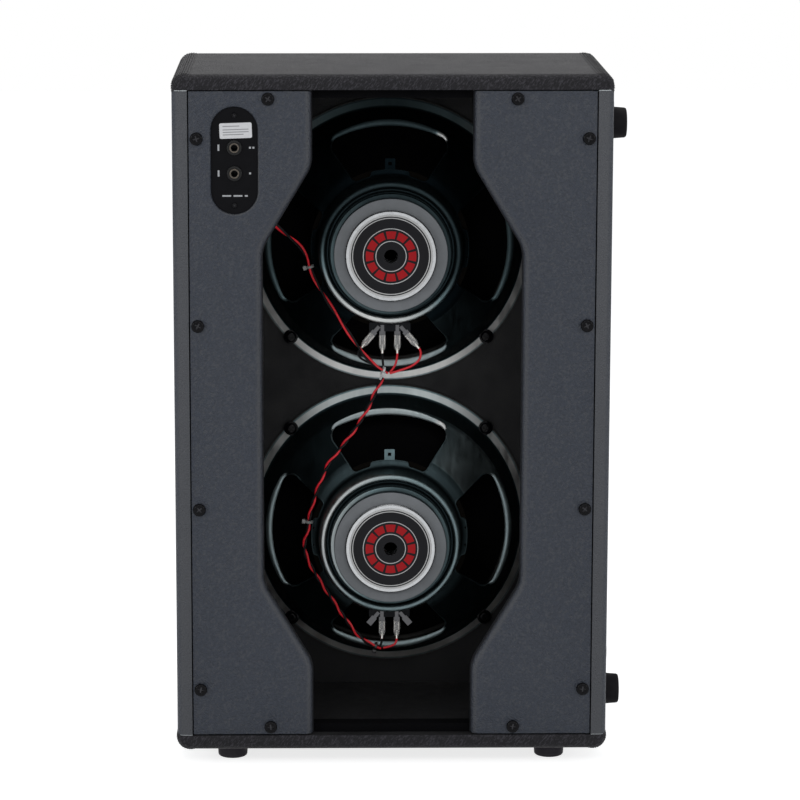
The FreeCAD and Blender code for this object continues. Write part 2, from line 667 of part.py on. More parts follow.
def foot_pieces():
    floor_feet, side_feet = foot_places()
    pieces = {"floor_feet": [], "side_feet": [], "foot_washers": [], "foot_screws": []}
    for name, places in (("floor_feet", floor_feet), ("side_feet", side_feet)):
        for at, out in places:
            foot, washer, pin = foot_solids()
            place = FreeCAD.Placement(at, FreeCAD.Rotation(V(0, 0, 1), out))
            pieces[name].append(foot.transformed(place.toMatrix()))
            pieces["foot_washers"].append(washer.transformed(place.toMatrix()))
            pieces["foot_screws"].append(pin.transformed(place.toMatrix()))
    return {name: group(shapes) for name, shapes in pieces.items()}


# Loudspeakers, drawn with the axis along Y and the baffle's rear face at the origin


def window_cutter():
    """The outline of one basket window, at the top, drawn out along Y through the spokes."""
    y0, y1 = -CUP_BACK, -FLANGE_BACK
    lean = (WINDOW_OUTER_HALF - WINDOW_INNER_HALF) / (WINDOW_OUTER_RADIUS - WINDOW_INNER_RADIUS)
    far, near = WINDOW_OUTER_RADIUS + WINDOW_ROUND, WINDOW_INNER_RADIUS / 2
    wide = WINDOW_OUTER_HALF + lean * (far - WINDOW_OUTER_RADIUS)
    narrow = WINDOW_INNER_HALF + lean * (near - WINDOW_INNER_RADIUS)
    wedge = prism_y([(-narrow, near, 0), (narrow, near, 0), (wide, far, 0), (-wide, far, 0)], y0, y1)
    band = rod_y(WINDOW_OUTER_RADIUS, y0, y1).cut(rod_y(WINDOW_INNER_RADIUS, y0, y1))
    strip = block(-BOSS_HALF_WIDTH, BOSS_HALF_WIDTH, y0, y1, 0, far)
    cutter = wedge.common(band).cut(rod_y(BOSS_RADIUS, y0, y1).common(strip))
    upright = [e for e in cutter.Edges if e.BoundBox.YLength > CUP_BACK / 2]
    split = (WINDOW_OUTER_RADIUS + WINDOW_INNER_RADIUS) / 2
    outer = [e for e in upright if math.hypot(e.CenterOfMass.x, e.CenterOfMass.z) > split]
    cutter = cutter.makeFillet(WINDOW_ROUND, outer)
    crown = math.sqrt(BOSS_RADIUS ** 2 - BOSS_HALF_WIDTH ** 2)
    corners = [V(side * BOSS_HALF_WIDTH, 0, crown) for side in (-1, 1)]
    upright = [e for e in cutter.Edges if e.BoundBox.YLength > CUP_BACK / 2]
    inner = [e for e in upright if any(e.CenterOfMass.distanceToLine(c, V(0, 1, 0)) < 1 for c in corners)]
    return cutter.makeFillet(BOSS_ROUND, inner)


def window_bead():
    """The rolled lip along a window's outer edge, which stiffens the pressing."""
    slope = (LANDING_BACK - WALL_TOP_BACK) / (WALL_TOP_RADIUS - SPOKE_INNER_RADIUS)
    middle = WINDOW_OUTER_RADIUS + WINDOW_BEAD / 2
    back = WALL_TOP_BACK + slope * (WALL_TOP_RADIUS - middle) - SHEET / 2
    bead = Part.makeTorus(middle, WINDOW_BEAD, V(0, -back, 0), V(0, 1, 0))
    half = WINDOW_OUTER_HALF - WINDOW_ROUND
    return bead.common(block(-half, half, -CUP_BACK, 0, 0, FLANGE_RADIUS))


def basket():
    """The pressed steel basket: flange, steep wall, spokes with four windows, landing and magnet cup."""
    profile = [
        (FLANGE_RADIUS, FLANGE_BACK, 0),
        (FLANGE_INNER_RADIUS, FLANGE_BACK, FLANGE_BEND),
        (WALL_TOP_RADIUS, WALL_TOP_BACK, WALL_BEND),
        (SPOKE_INNER_RADIUS, LANDING_BACK, LANDING_BEND),
        (CUP_FOOT_RADIUS, LANDING_BACK, CUP_FOOT_BEND),
        (CUP_RADIUS, CUP_BACK, CUP_ROUND),
        (GAP_OUTER_RADIUS + CUP_HOLE_STEP, CUP_BACK, 0),
    ]
    shell = turned(sheet_section(profile, SHEET))
    cutter, bead = window_cutter(), window_bead()
    for quarter in range(4):
        turn = FreeCAD.Placement(V(0, 0, 0), FreeCAD.Rotation(V(0, 1, 0), 90.0 * quarter)).toMatrix()
        shell = shell.cut(cutter.transformed(turn)).fuse(bead.transformed(turn))
    reach = CUP_FOOT_RADIUS + TIE_HOLE_STEP
    y0, y1 = -LANDING_BACK - CUT_PAST, -LANDING_BACK + CUT_PAST
    for side in (-1, 1):
        for offset in (-TIE_HOLE_SPACING / 2, TIE_HOLE_SPACING / 2):
            shell = shell.cut(rod_y(TIE_HOLE_RADIUS, y0, y1, side * reach, offset))
    half, end = TAG_WIDTH / 2, BOSS_RADIUS + TAG_LENGTH
    tag = block(-half, half, -LANDING_BACK, -LANDING_BACK + SHEET, BOSS_RADIUS - SHEET, end)
    tag = tag.cut(rod_y(TAG_HOLE_RADIUS, y0, y1, 0, end - half))
    shell = shell.fuse(tag)
    for x, z in bolt_ring():
        shell = shell.cut(rod_y(BOLT_RADIUS + BOLT_HOLE_FIT, -FLANGE_BACK - 1, 0, x, z))
    return shell.removeSplitter()


def wave(r0, r1, back, height, count):
    """The points of a corrugation of so many half waves between two radii."""
    step = (r1 - r0) / (2 * count)
    points = []
    for i in range(count):
        crest = height / 2 if i % 2 else -height / 2
        points.append((r0 + step * (2 * i + 1), back + crest, WAVE_BEND))
    return points


def cone_profile():
    return [
        (CONE_EDGE_RADIUS, CONE_EDGE_BACK, 0),
        (CONE_MIDDLE_RADIUS, CONE_MIDDLE_BACK, CONE_SWEEP),
        (CONE_NECK_RADIUS, CONE_NECK_BACK, 0),
    ]


def cone_slope(radius):
    """How fast the cone runs back, per millimetre inwards, at a radius."""
    edge, middle, neck = cone_profile()
    start, end = (edge, middle) if radius > CONE_MIDDLE_RADIUS else (middle, neck)
    return (end[1] - start[1]) / (start[0] - end[0])


def cone_front(radius):
    """How far behind the baffle the cone's front face lies at a radius, away from its curved middle."""
    return CONE_MIDDLE_BACK + cone_slope(radius) * (CONE_MIDDLE_RADIUS - radius)


def surround():
    """The corrugated edge that hangs the cone between the flange and the gasket."""
    outer = SURROUND_OUTER_RADIUS - SURROUND_RIM
    inner = CONE_EDGE_RADIUS + SURROUND_START
    level = GASKET_THICK - SURROUND_ROLL / 2
    rolls = wave(inner, outer, level, SURROUND_ROLL, 2 * SURROUND_ROLLS)
    lap = CONE_EDGE_RADIUS - SURROUND_LAP
    points = [(SURROUND_OUTER_RADIUS, GASKET_THICK, 0), (outer, GASKET_THICK, SOFT_BEND)]
    points += list(reversed(rolls)) + [(CONE_EDGE_RADIUS, CONE_EDGE_BACK - GLUE_GAP, SOFT_BEND)]
    points.append((lap, cone_front(lap) - GLUE_GAP, 0))
    return turned(sheet_section(points, SURROUND_WALL))


def spider():
    """The corrugated centring disc between the landing and the voice coil."""
    back = LANDING_BACK - SHEET
    inner = FORMER_OUTER_RADIUS + GLUE_GAP
    rim = SPIDER_RADIUS - SPIDER_RIM
    level = back - SPIDER_WAVE_HEIGHT / 2
    collar = inner + SPIDER_COLLAR
    waves = wave(collar + SOFT_BEND, rim, level, SPIDER_WAVE_HEIGHT, 2 * SPIDER_WAVES)
    points = [(SPIDER_RADIUS, back, 0), (rim, back, SOFT_BEND)] + list(reversed(waves))
    points += [(collar, level, SOFT_BEND), (inner, level, 0)]
    return turned(sheet_section(points, SPIDER_WALL))


def voice_coil():
    """The coil former with its winding, centred in the magnet's gap."""
    middle = CUP_BACK + FRONT_PLATE_THICK / 2
    start, end = middle - WINDING_LENGTH / 2, middle + WINDING_LENGTH / 2
    former_start = CONE_NECK_BACK - FORMER_ABOVE_NECK
    former = ring(FORMER_RADIUS, FORMER_OUTER_RADIUS, former_start, end + FORMER_BELOW_WINDING)
    winding = ring(FORMER_RADIUS, FORMER_OUTER_RADIUS + WINDING_WALL, start, end)
    return former.fuse(winding).removeSplitter()


def dust_cap():
    """A shallow dome that seats on the front of the cone."""
    seat = cone_front(DUST_CAP_RADIUS) - GLUE_GAP
    rise = DUST_CAP_RISE
    sphere = (DUST_CAP_RADIUS ** 2 + rise ** 2) / (2 * rise)
    centre = V(0, -(seat - rise + sphere), 0)
    dome = Part.makeSphere(sphere, centre).cut(Part.makeSphere(sphere - DUST_CAP_WALL, centre))
    return dome.common(rod_y(DUST_CAP_RADIUS, -seat, -seat + sphere))


def terminal_board():
    """A strip of board on the bottom boss, with a rivet at its middle."""
    half = TERMINAL_WIDTH / 2
    low, high = -TERMINAL_EDGE, -TERMINAL_EDGE + TERMINAL_HEIGHT
    corners = [(-half, low), (half, low), (half, high), (-half, high)]
    rear = -LANDING_BACK - TERMINAL_THICK
    strip = prism_y([(x, z, TERMINAL_ROUND) for x, z in corners], rear, -LANDING_BACK)
    rivet = rod_y(RIVET_RADIUS, rear - RIVET_PROUD, -LANDING_BACK, 0, (low + high) / 2)
    return strip.fuse(rivet).removeSplitter()


def tab_places():
    """Where the tabs leave the terminal board: (x, turn from straight down)."""
    return {
        "left": (-TAB_X, 0.0),
        "right": (TAB_X, 0.0),
        "splayed left": (-SPLAYED_TAB_X, -SPLAY_ANGLE),
        "splayed right": (SPLAYED_TAB_X, SPLAY_ANGLE),
    }


def beside_tab(shape, x, turn):
    """A shape drawn on a tab that points straight down from the origin, moved to one of the tabs."""
    spin = FreeCAD.Rotation(V(0, 1, 0), -turn)
    place = FreeCAD.Placement(V(x, -LANDING_BACK - TERMINAL_THICK, -TERMINAL_EDGE), spin)
    return shape.transformed(place.toMatrix())


def tabs():
    """Flat blade tabs on the rear face of the terminal board."""
    half = TAB_WIDTH / 2
    blade = block(-half, half, -TAB_THICK, 0, -TAB_LENGTH, 0)
    root = block(-TAB_ROOT_WIDTH / 2, TAB_ROOT_WIDTH / 2, -TAB_THICK, 0, 0, TAB_ROOT)
    return [beside_tab(blade.fuse(root), x, turn) for x, turn in tab_places().values()]


def connector():
    """A push-on connector in its sleeve, slotted for the tab, with a crimped barrel for the wire."""
    half = CONNECTOR_WIDTH / 2
    y0, y1 = -TAB_THICK / 2 - CONNECTOR_THICK / 2, -TAB_THICK / 2 + CONNECTOR_THICK / 2
    corners = [(-half, -CONNECTOR_LENGTH), (half, -CONNECTOR_LENGTH), (half, 0), (-half, 0)]
    sleeve = prism_y([(x, z - CONNECTOR_START, CONNECTOR_ROUND) for x, z in corners], y0, y1)
    neck = V(0, -TAB_THICK / 2, -CONNECTOR_START - CONNECTOR_LENGTH + CONNECTOR_ROUND)
    barrel = Part.makeCylinder(CONNECTOR_BARREL_RADIUS, CONNECTOR_BARREL_LENGTH, neck, V(0, 0, -1))
    room = CONNECTOR_TAB_FIT
    reach = TAB_WIDTH / 2 + room
    slot = block(-reach, reach, -TAB_THICK - room, room, -TAB_LENGTH - room, 1)
    return sleeve.fuse(barrel).cut(slot)


def connector_tip(x, turn):
    """The middle of a fitted connector's wire end, and the way it points."""
    length = CONNECTOR_START + CONNECTOR_LENGTH + CONNECTOR_BARREL_LENGTH - CONNECTOR_ROUND
    spin = FreeCAD.Rotation(V(0, 1, 0), -turn)
    start = V(x, -LANDING_BACK - TERMINAL_THICK, -TERMINAL_EDGE)
    return start + spin.multVec(V(0, -TAB_THICK / 2, -length)), spin.multVec(V(0, 0, -1))


def tinsel_leads():
    """The two braided leads from the terminal board to the back of the cone."""
    leads = []
    land = CONE_MIDDLE_RADIUS - TINSEL_LAND_STEP
    cover = (CONE_WALL + TINSEL_LAND_FIT) * math.hypot(1, cone_slope(land))
    for x in (-TAB_X, TAB_X):
        points = [V(x, -LANDING_BACK - TERMINAL_THICK + TINSEL_FIT, -TERMINAL_EDGE - TINSEL_DROP)]
        points += [V(x, -LANDING_BACK + front, -TERMINAL_EDGE + up) for front, up in TINSEL_SAG]
        points.append(V(x, -cone_front(land) - cover, -math.sqrt(land ** 2 - x ** 2)))
        leads.append(tube(points, TINSEL_RADIUS, "tinsel lead"))
    return leads


def speaker_pieces():
    step = SURROUND_OUTER_RADIUS + SURROUND_STEP
    seat = GASKET_THICK - SURROUND_WALL
    gasket = turned([
        (GASKET_INNER_RADIUS, 0, 0),
        (FLANGE_RADIUS, 0, 0),
        (FLANGE_RADIUS, GASKET_THICK, 0),
        (step, GASKET_THICK, 0),
        (step, seat, 0),
        (GASKET_INNER_RADIUS, seat, 0),
    ])
    for x, z in bolt_ring():
        gasket = gasket.cut(rod_y(BOLT_RADIUS + BOLT_HOLE_FIT, -GASKET_THICK - 1, 1, x, z))
    front_plate = eased_ring(GAP_OUTER_RADIUS, FRONT_PLATE_RADIUS, CUP_BACK, PLATE_BACK, FRONT_PLATE_CHAMFER)
    magnet = eased_ring(MAGNET_HOLE_RADIUS, MAGNET_RADIUS, PLATE_BACK, MAGNET_BACK, MAGNET_CHAMFER)
    back_plate = eased_ring(VENT_RADIUS, BACK_PLATE_RADIUS, MAGNET_BACK, LABEL_BACK, BACK_PLATE_CHAMFER)
    pole = ring(VENT_RADIUS, POLE_RADIUS, CUP_BACK, MAGNET_BACK)
    return {
        "basket": basket(),
        "gasket": gasket,
        "surround": surround(),
        "cone": turned(sheet_section(cone_profile(), -CONE_WALL)),
        "dust_cap": dust_cap(),
        "voice_coil": voice_coil(),
        "spider": spider(),
        "front_plate": front_plate,
        "magnet": magnet,
        "back_plate": back_plate.fuse(pole).removeSplitter(),
        "label": ring(VENT_RADIUS, LABEL_RADIUS, LABEL_BACK, LABEL_BACK + LABEL_THICK),
        "terminal_board": terminal_board(),
        "tinsel_leads": group(tinsel_leads()),
    }


def bolt_and_nut(x, z):
    """A machine bolt through the flange and the baffle, and the tee nut in the baffle's front."""
    corners = [(0, 0, 0), (BOLT_HEAD_RADIUS, 0, 0), (BOLT_HEAD_RADIUS, BOLT_HEAD_RIM, 0)]
    corners += [(BOLT_HEAD_CROWN, BOLT_HEAD_HEIGHT, 0), (0, BOLT_HEAD_HEIGHT, 0)]
    head = turned(corners)
    head.translate(V(x, BAFFLE_REAR - FLANGE_BACK, z))
    end = BAFFLE_FRONT + BOLT_BEYOND_BAFFLE
    bolt = head.fuse(rod_y(BOLT_RADIUS, BAFFLE_REAR - FLANGE_BACK, end, x, z))
    plate = rod_y(TEE_NUT_RADIUS, BAFFLE_FRONT, BAFFLE_FRONT + TEE_NUT_THICK, x, z)
    barrel = rod_y(TEE_BARREL_RADIUS, BAFFLE_FRONT - TEE_BARREL_LENGTH, BAFFLE_FRONT, x, z)
    thread = rod_y(BOLT_RADIUS + SCREW_FIT, BAFFLE_REAR, end + CUT_PAST, x, z)
    return bolt.removeSplitter(), plate.fuse(barrel).cut(thread)


# Leads


def tube(points, radius, name):
    """A round lead along straight runs and arcs, each arc as large as its two runs allow."""
    edges, radii = [], []
    last = points[0]
    for i in range(1, len(points) - 1):
        here = points[i]
        back, on = points[i - 1] - here, points[i + 1] - here
        run = ROUTE_SHARE * min(back.Length, on.Length)
        to_last, to_next = V(back).normalize(), V(on).normalize()
        half = to_last.getAngle(to_next) / 2
        arc_radius = run * math.tan(half)
        centre = here + (to_last + to_next).normalize() * (run / math.cos(half))
        start, end = here + to_last * run, here + to_next * run
        middle = centre + (here - centre).normalize() * arc_radius
        edges.append(Part.LineSegment(last, start).toShape())
        edges.append(Part.Arc(start, middle, end).toShape())
        radii.append(round(arc_radius, 1))
        last = end
    edges.append(Part.LineSegment(last, points[-1]).toShape())
    path = Part.Wire(edges)
    section = Part.Wire([Part.makeCircle(radius, points[0], points[1] - points[0])])
    solid = path.makePipeShell([section], True, False)
    ideal = math.pi * radius ** 2 * path.Length
    print(f"{name}: {path.Length:.1f} long, arcs {radii}, volume {solid.Volume / ideal:.4f} of the ideal")
    return solid


def tie(at, along, head_way):
    """A nylon tie round a lead: a band, the head that locks it, and the trimmed tail."""
    inner = PAIR_RADIUS + TIE_FIT
    outer = inner + TIE_WALL
    half = TIE_WIDTH / 2
    band = Part.makeCylinder(outer, TIE_WIDTH, V(0, 0, -half))
    seat = outer - TIE_WALL / 2
    head = block(seat, seat + TIE_HEAD, -TIE_HEAD / 2, TIE_HEAD / 2, -half - TIE_LIP, half + TIE_LIP)
    end = block(seat, outer + TIE_TAIL, -TIE_WALL / 2, TIE_WALL / 2, -half, half)
    shape = band.fuse([head, end]).cut(Part.makeCylinder(inner, 4 * TIE_WIDTH, V(0, 0, -2 * TIE_WIDTH)))
    shape.Placement = FreeCAD.Placement(at, FreeCAD.Rotation(head_way, V(0, 0, 0), along, "ZXY"))
    return shape


# Where the leads run. Points are given from the axis of the loudspeaker beside them, as across, behind
# the baffle, and up; the first points of the input lead are given from the lower jack's lugs.
INPUT_START = [(0.0, 0.0, 0.0), (0.0, 18.0, 0.0), (6.5, 34.0, -18.0), (20.0, 48.0, -41.0)]
INPUT_ROUTE = [
    (-123.5, 111.0, 33.0),
    (-109.0, 97.0, 18.0),
    (-96.0, 87.0, 6.5),
    (-88.0, 80.5, -7.0),
    (-82.0, 80.0, -29.0),
    (-67.0, 80.5, -54.0),
    (-53.5, 81.0, -75.0),
    (-39.5, 81.0, -96.0),
    (-26.0, 80.5, -115.0),
    (-12.0, 79.0, -128.5),
    (-2.0, 77.5, -132.5),
]
LINK_START = [(-7.2, 77.5, -138.2), (-14.5, 78.0, -150.5)]
LINK_ROUTE = [
    (-20.0, 79.0, 149.0),
    (-33.0, 80.0, 126.0),
    (-50.0, 80.5, 102.5),
    (-64.5, 80.5, 86.0),
    (-74.0, 80.0, 65.0),
    (-80.5, 79.5, 46.0),
    (-86.0, 79.0, 27.0),
    (-87.5, 79.0, 10.0),
    (-92.5, 79.5, -6.0),
    (-90.0, 80.0, -20.0),
    (-79.5, 80.5, -40.0),
    (-70.0, 81.0, -54.0),
    (-61.5, 81.0, -68.0),
    (-52.0, 80.5, -82.0),
    (-43.5, 80.0, -95.0),
    (-33.5, 79.5, -108.0),
    (-21.0, 79.0, -118.0),
    (-9.0, 78.5, -121.2),
]
# Each tail: the loudspeaker, the tab whose connector it leaves, and its points after a straight start.
UPPER_RIGHT_TAIL = [(5.5, 74.0, -127.5), (-0.3, 75.6, -133.2)]
UPPER_SPLAYED_RIGHT_TAIL = [(32.0, 75.0, -120.5), (19.0, 77.5, -128.5), (-0.3, 79.6, -133.2)]
LOWER_RIGHT_TAIL = [(3.5, 74.8, -121.0), (-6.8, 78.0, -122.0)]
UPPER_LEFT_TAIL = [(-7.0, 74.0, -126.0)]
UPPER_SPLAYED_LEFT_TAIL = [(-34.5, 71.5, -114.5), (-28.0, 70.0, -121.5), (-15.0, 74.0, -125.0)]
LOWER_LEFT_TAIL = [(-9.5, 73.2, -120.5)]
RED_TAILS = [
    ("upper", "right", UPPER_RIGHT_TAIL),
    ("upper", "splayed right", UPPER_SPLAYED_RIGHT_TAIL),
    ("lower", "right", LOWER_RIGHT_TAIL),
]
BLACK_TAILS = [
    ("upper", "left", UPPER_LEFT_TAIL),
    ("upper", "splayed left", UPPER_SPLAYED_LEFT_TAIL),
    ("lower", "left", LOWER_LEFT_TAIL),
]
# The tabs that have a connector on them.
WORN_TABS = {"upper": ("left", "right", "splayed left", "splayed right"), "lower": ("left", "right")}


def beside_speaker(name, points):
    height = SPEAKER_HEIGHTS[name]
    return [V(x, BAFFLE_REAR - back, height + up) for x, back, up in points]


def tail(speaker, tab, points, name):
    """A single wire from a fitted connector to the lead that it belongs to."""
    place = V(0, BAFFLE_REAR, SPEAKER_HEIGHTS[speaker])
    tip, way = connector_tip(*tab_places()[tab])
    start = [place + tip, place + tip + way * TAIL_START]
    return tube(start + beside_speaker(speaker, points), WIRE_RADIUS, name)


def jack_links():
    """Two straight wires that join the lugs of the upper jack to those of the lower one."""
    heights = jack_heights()
    low, high = heights["jack_lower"] + LUG_THICK, heights["jack_upper"]
    wires = []
    for x in (-LUG_SPACING / 2, LUG_SPACING / 2):
        foot = V(DISH_X + x, JACK_FRONT + LUG_LENGTH / 2, low)
        wires.append(Part.makeCylinder(WIRE_RADIUS, high - low, foot))
    return wires


def tie_on(route, run, head_way):
    """A tie closed on the middle of one run of a lead, with its head pointing the given way."""
    start, end = route[run], route[run + 1]
    return tie((start + end) / 2, end - start, head_way)


def lead_pieces():
    lug = V(DISH_X, JACK_FRONT + LUG_LENGTH, jack_heights()["jack_lower"] + LUG_THICK / 2)
    input_route = [lug + V(*step) for step in INPUT_START] + beside_speaker("upper", INPUT_ROUTE)
    link_route = beside_speaker("upper", LINK_START) + beside_speaker("lower", LINK_ROUTE)
    ties = [
        tie_on(input_route, 7, V(-1, 0, 0)),
        tie_on(input_route, 13, V(0, -1, 0)),
        tie_on(link_route, 8, V(-1, 0, 0)),
        tie_on(link_route, 18, V(0, 0, -1)),
    ]
    return {
        "input_lead": tube(input_route, PAIR_RADIUS, "input lead"),
        "link_lead": tube(link_route, PAIR_RADIUS, "link lead"),
        "red_tails": group([tail(*spec, "red tail") for spec in RED_TAILS]),
        "black_tails": group([tail(*spec, "black tail") for spec in BLACK_TAILS]),
        "jack_links": group(jack_links()),
        "cable_ties": group(ties),
    }


def assemble():
    parts.update(cabinet_boards())
    parts.update(baffle_pieces())
    parts.update(grille_pieces())
    parts.update(rear_pieces())
    parts.update(foot_pieces())
    bolts, nuts = zip(*[bolt_and_nut(x, z) for x, z in bolt_places()])
    parts["speaker_bolts"] = group(list(bolts))
    parts["speaker_tee_nuts"] = group(list(nuts))
    pieces = speaker_pieces()
    blades, sleeves = [], []
    for name, height in SPEAKER_HEIGHTS.items():
        place = FreeCAD.Placement(V(0, BAFFLE_REAR, height), FreeCAD.Rotation()).toMatrix()
        for piece, shape in pieces.items():
            parts[f"{name}_{piece}"] = shape.transformed(place)
        blades += [blade.transformed(place) for blade in tabs()]
        for tab in WORN_TABS[name]:
            sleeves.append(beside_tab(connector(), *tab_places()[tab]).transformed(place))
    parts["terminal_tabs"] = group(blades)
    parts["wire_connectors"] = group(sleeves)
    parts.update(lead_pieces())


assemble()
os.makedirs("parts", exist_ok=True)
for name, shape in parts.items():
    shape.translate(ORIGIN_SHIFT)
    shape.exportStep(f"parts/{name}.step")
    if not shape.isValid():
        print(name, "is not valid")
print(len(parts), "nodes")
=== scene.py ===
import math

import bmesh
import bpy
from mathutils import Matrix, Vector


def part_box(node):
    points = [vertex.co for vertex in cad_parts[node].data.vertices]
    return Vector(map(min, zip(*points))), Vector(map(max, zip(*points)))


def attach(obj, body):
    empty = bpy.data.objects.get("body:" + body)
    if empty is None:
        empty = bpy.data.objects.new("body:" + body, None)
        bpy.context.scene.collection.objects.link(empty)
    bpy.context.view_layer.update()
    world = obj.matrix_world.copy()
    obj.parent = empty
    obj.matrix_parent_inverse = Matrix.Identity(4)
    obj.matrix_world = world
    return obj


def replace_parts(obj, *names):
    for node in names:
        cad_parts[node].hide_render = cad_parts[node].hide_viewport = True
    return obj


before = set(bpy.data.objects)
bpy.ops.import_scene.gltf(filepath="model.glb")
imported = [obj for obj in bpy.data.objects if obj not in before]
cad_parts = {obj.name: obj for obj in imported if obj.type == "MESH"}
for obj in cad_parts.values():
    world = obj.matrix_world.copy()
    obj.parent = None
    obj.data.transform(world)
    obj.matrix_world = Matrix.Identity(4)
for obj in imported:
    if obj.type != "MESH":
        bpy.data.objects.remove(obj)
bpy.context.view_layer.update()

# %% [markdown]
# A guitar speaker cabinet, seen from behind: a box covered in charcoal vinyl, two stepped rear panels,
# and between them the backs of two 12 inch loudspeakers with their wiring. The CAD model gives every
# place and size. This lesson dresses it, piece by piece, with Blender's own modelling tools.

# %% [markdown]
# The camera stands behind the cabinet, about three and a half metres away and a little above its top, and
# looks down slightly. The photographer kept upright edges parallel with a level camera and a shifted lens,
# but so large a shift would push the cabinet out of the picture in every other view. A longer lens from
# further away keeps the edges nearly parallel without it.

# %% Camera
CAMERA_PLACE = (-0.0840, -3.6240, 1.0600)
CAMERA_TILT, CAMERA_PAN = 0.18847, 0.0107
SENSOR, LENS, SHIFT = 36, 155.57, 0.0550
bpy.ops.object.camera_add(location=CAMERA_PLACE, rotation=(math.pi / 2 - CAMERA_TILT, 0, -CAMERA_PAN))
camera = bpy.context.object
camera.name = "camera"
camera.data.sensor_width, camera.data.lens, camera.data.shift_x = SENSOR, LENS, SHIFT
bpy.context.scene.camera = camera
print("camera at", CAMERA_PLACE)

# %% [markdown]
# The leads come next. Each is a loose twisted pair of red and black wire. The route's points are the
# control points of one smooth NURBS line, and the two wires wind round points read from that line.
# Winding them by hand with two curves would also work, but they would drift apart from the line that the
# lead really follows. Places beside a loudspeaker are given as across its axis, behind the baffle, and up.

# %% Places in the CAD model
def middle(node):
    low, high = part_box(node)
    return (low + high) / 2


BAFFLE_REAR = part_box("baffle_board")[0].y
AXES = {name: middle(f"{name}_magnet") for name in ("upper", "lower")}
UPPER = AXES["upper"]
SPEAKER_STEP = AXES["lower"] - UPPER


def beside(speaker, across, back, up):
    """A place beside a loudspeaker, in metres from its axis and from the rear of the baffle."""
    return Vector((AXES[speaker].x + across, BAFFLE_REAR - back, AXES[speaker].z + up))


print("axes", AXES, "baffle rear", BAFFLE_REAR)

# %% Routes of the two leads, in metres
LUG_LIFT = 0.0004
jack_low, jack_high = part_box("jack_lower")
LUG = Vector(((jack_low.x + jack_high.x) / 2, jack_high.y, (jack_low.z + jack_high.z) / 2 + LUG_LIFT))
INPUT_START = [(0, 0, 0), (0, 0.018, 0), (0.0065, 0.034, -0.018), (0.020, 0.048, -0.041)]
INPUT_ROUTE = [
    (-0.1235, 0.111, 0.033), (-0.109, 0.097, 0.018), (-0.096, 0.087, 0.0065), (-0.088, 0.0805, -0.007),
    (-0.082, 0.080, -0.029), (-0.067, 0.0805, -0.054), (-0.0535, 0.081, -0.075), (-0.0395, 0.081, -0.096),
    (-0.026, 0.0805, -0.115), (-0.012, 0.079, -0.1285), (-0.002, 0.0775, -0.1325),
]
LINK_START = [(-0.0072, 0.0775, -0.1382), (-0.0145, 0.078, -0.1505)]
LINK_ROUTE = [
    (-0.020, 0.079, 0.149), (-0.033, 0.080, 0.126), (-0.050, 0.0805, 0.1025), (-0.0645, 0.0805, 0.086),
    (-0.074, 0.080, 0.065), (-0.0805, 0.0795, 0.046), (-0.086, 0.079, 0.027), (-0.0875, 0.079, 0.010),
    (-0.0925, 0.0795, -0.006), (-0.090, 0.080, -0.020), (-0.0795, 0.0805, -0.040), (-0.070, 0.081, -0.054),
    (-0.0615, 0.081, -0.068), (-0.052, 0.0805, -0.082), (-0.0435, 0.080, -0.095), (-0.0335, 0.0795, -0.108),
    (-0.021, 0.079, -0.118), (-0.009, 0.0785, -0.1212),
]
input_route = [LUG + Vector(step) for step in INPUT_START] + [beside("upper", *p) for p in INPUT_ROUTE]
link_route = [beside("upper", *p) for p in LINK_START] + [beside("lower", *p) for p in LINK_ROUTE]
print("route points", len(input_route), len(link_route))


# %% Select objects, and join them
def deselect():
    if bpy.context.object and bpy.context.object.mode != "OBJECT":
        bpy.ops.object.mode_set(mode="OBJECT")
    bpy.ops.object.select_all(action="DESELECT")


def activate(piece):
    """Makes a piece the active object, and the only one selected."""
    deselect()
    piece.select_set(True)
    bpy.context.view_layer.objects.active = piece


def join(name, pieces):
    """Several objects as one piece, with one mesh."""
    deselect()
    for piece in pieces:
        piece.select_set(True)
    bpy.context.view_layer.objects.active = pieces[0]
    bpy.ops.object.join()
    piece = bpy.context.object
    piece.name = piece.data.name = name
    return piece


print("selection helpers ready")


# %% Read a smooth line from a route, and make a wire along points
def curve_through(name, kind, places):
    curve = bpy.data.curves.new(name, "CURVE")
    curve.dimensions = "3D"
    spline = curve.splines.new(kind)
    spline.points.add(len(places) - 1)
    for point, place in zip(spline.points, places):
        point.co = (*place, 1)
    return curve, spline


def smooth_line(route):
    """Points along the NURBS line that has the route as its control points."""
    curve, spline = curve_through("route", "NURBS", route)
    spline.order_u = 3
    spline.use_endpoint_u = True
    spline.resolution_u = 14
    holder = bpy.data.objects.new("route", curve)
    mesh = bpy.data.meshes.new_from_object(holder)
    line = [vertex.co.copy() for vertex in mesh.vertices]
    bpy.data.objects.remove(holder)
    bpy.data.curves.remove(curve)
    bpy.data.meshes.remove(mesh)
    return line


def wire_along(name, line, radius):
    """A round wire along points, as a mesh with closed ends."""
    curve, _ = curve_through(name, "POLY", line)
    curve.bevel_depth = radius
    curve.bevel_resolution = 3
    curve.use_fill_caps = True
    wire = bpy.data.objects.new(name, curve)
    bpy.context.scene.collection.objects.link(wire)
    activate(wire)
    bpy.ops.object.convert(target="MESH")
    bpy.ops.object.shade_smooth()
    return bpy.context.object


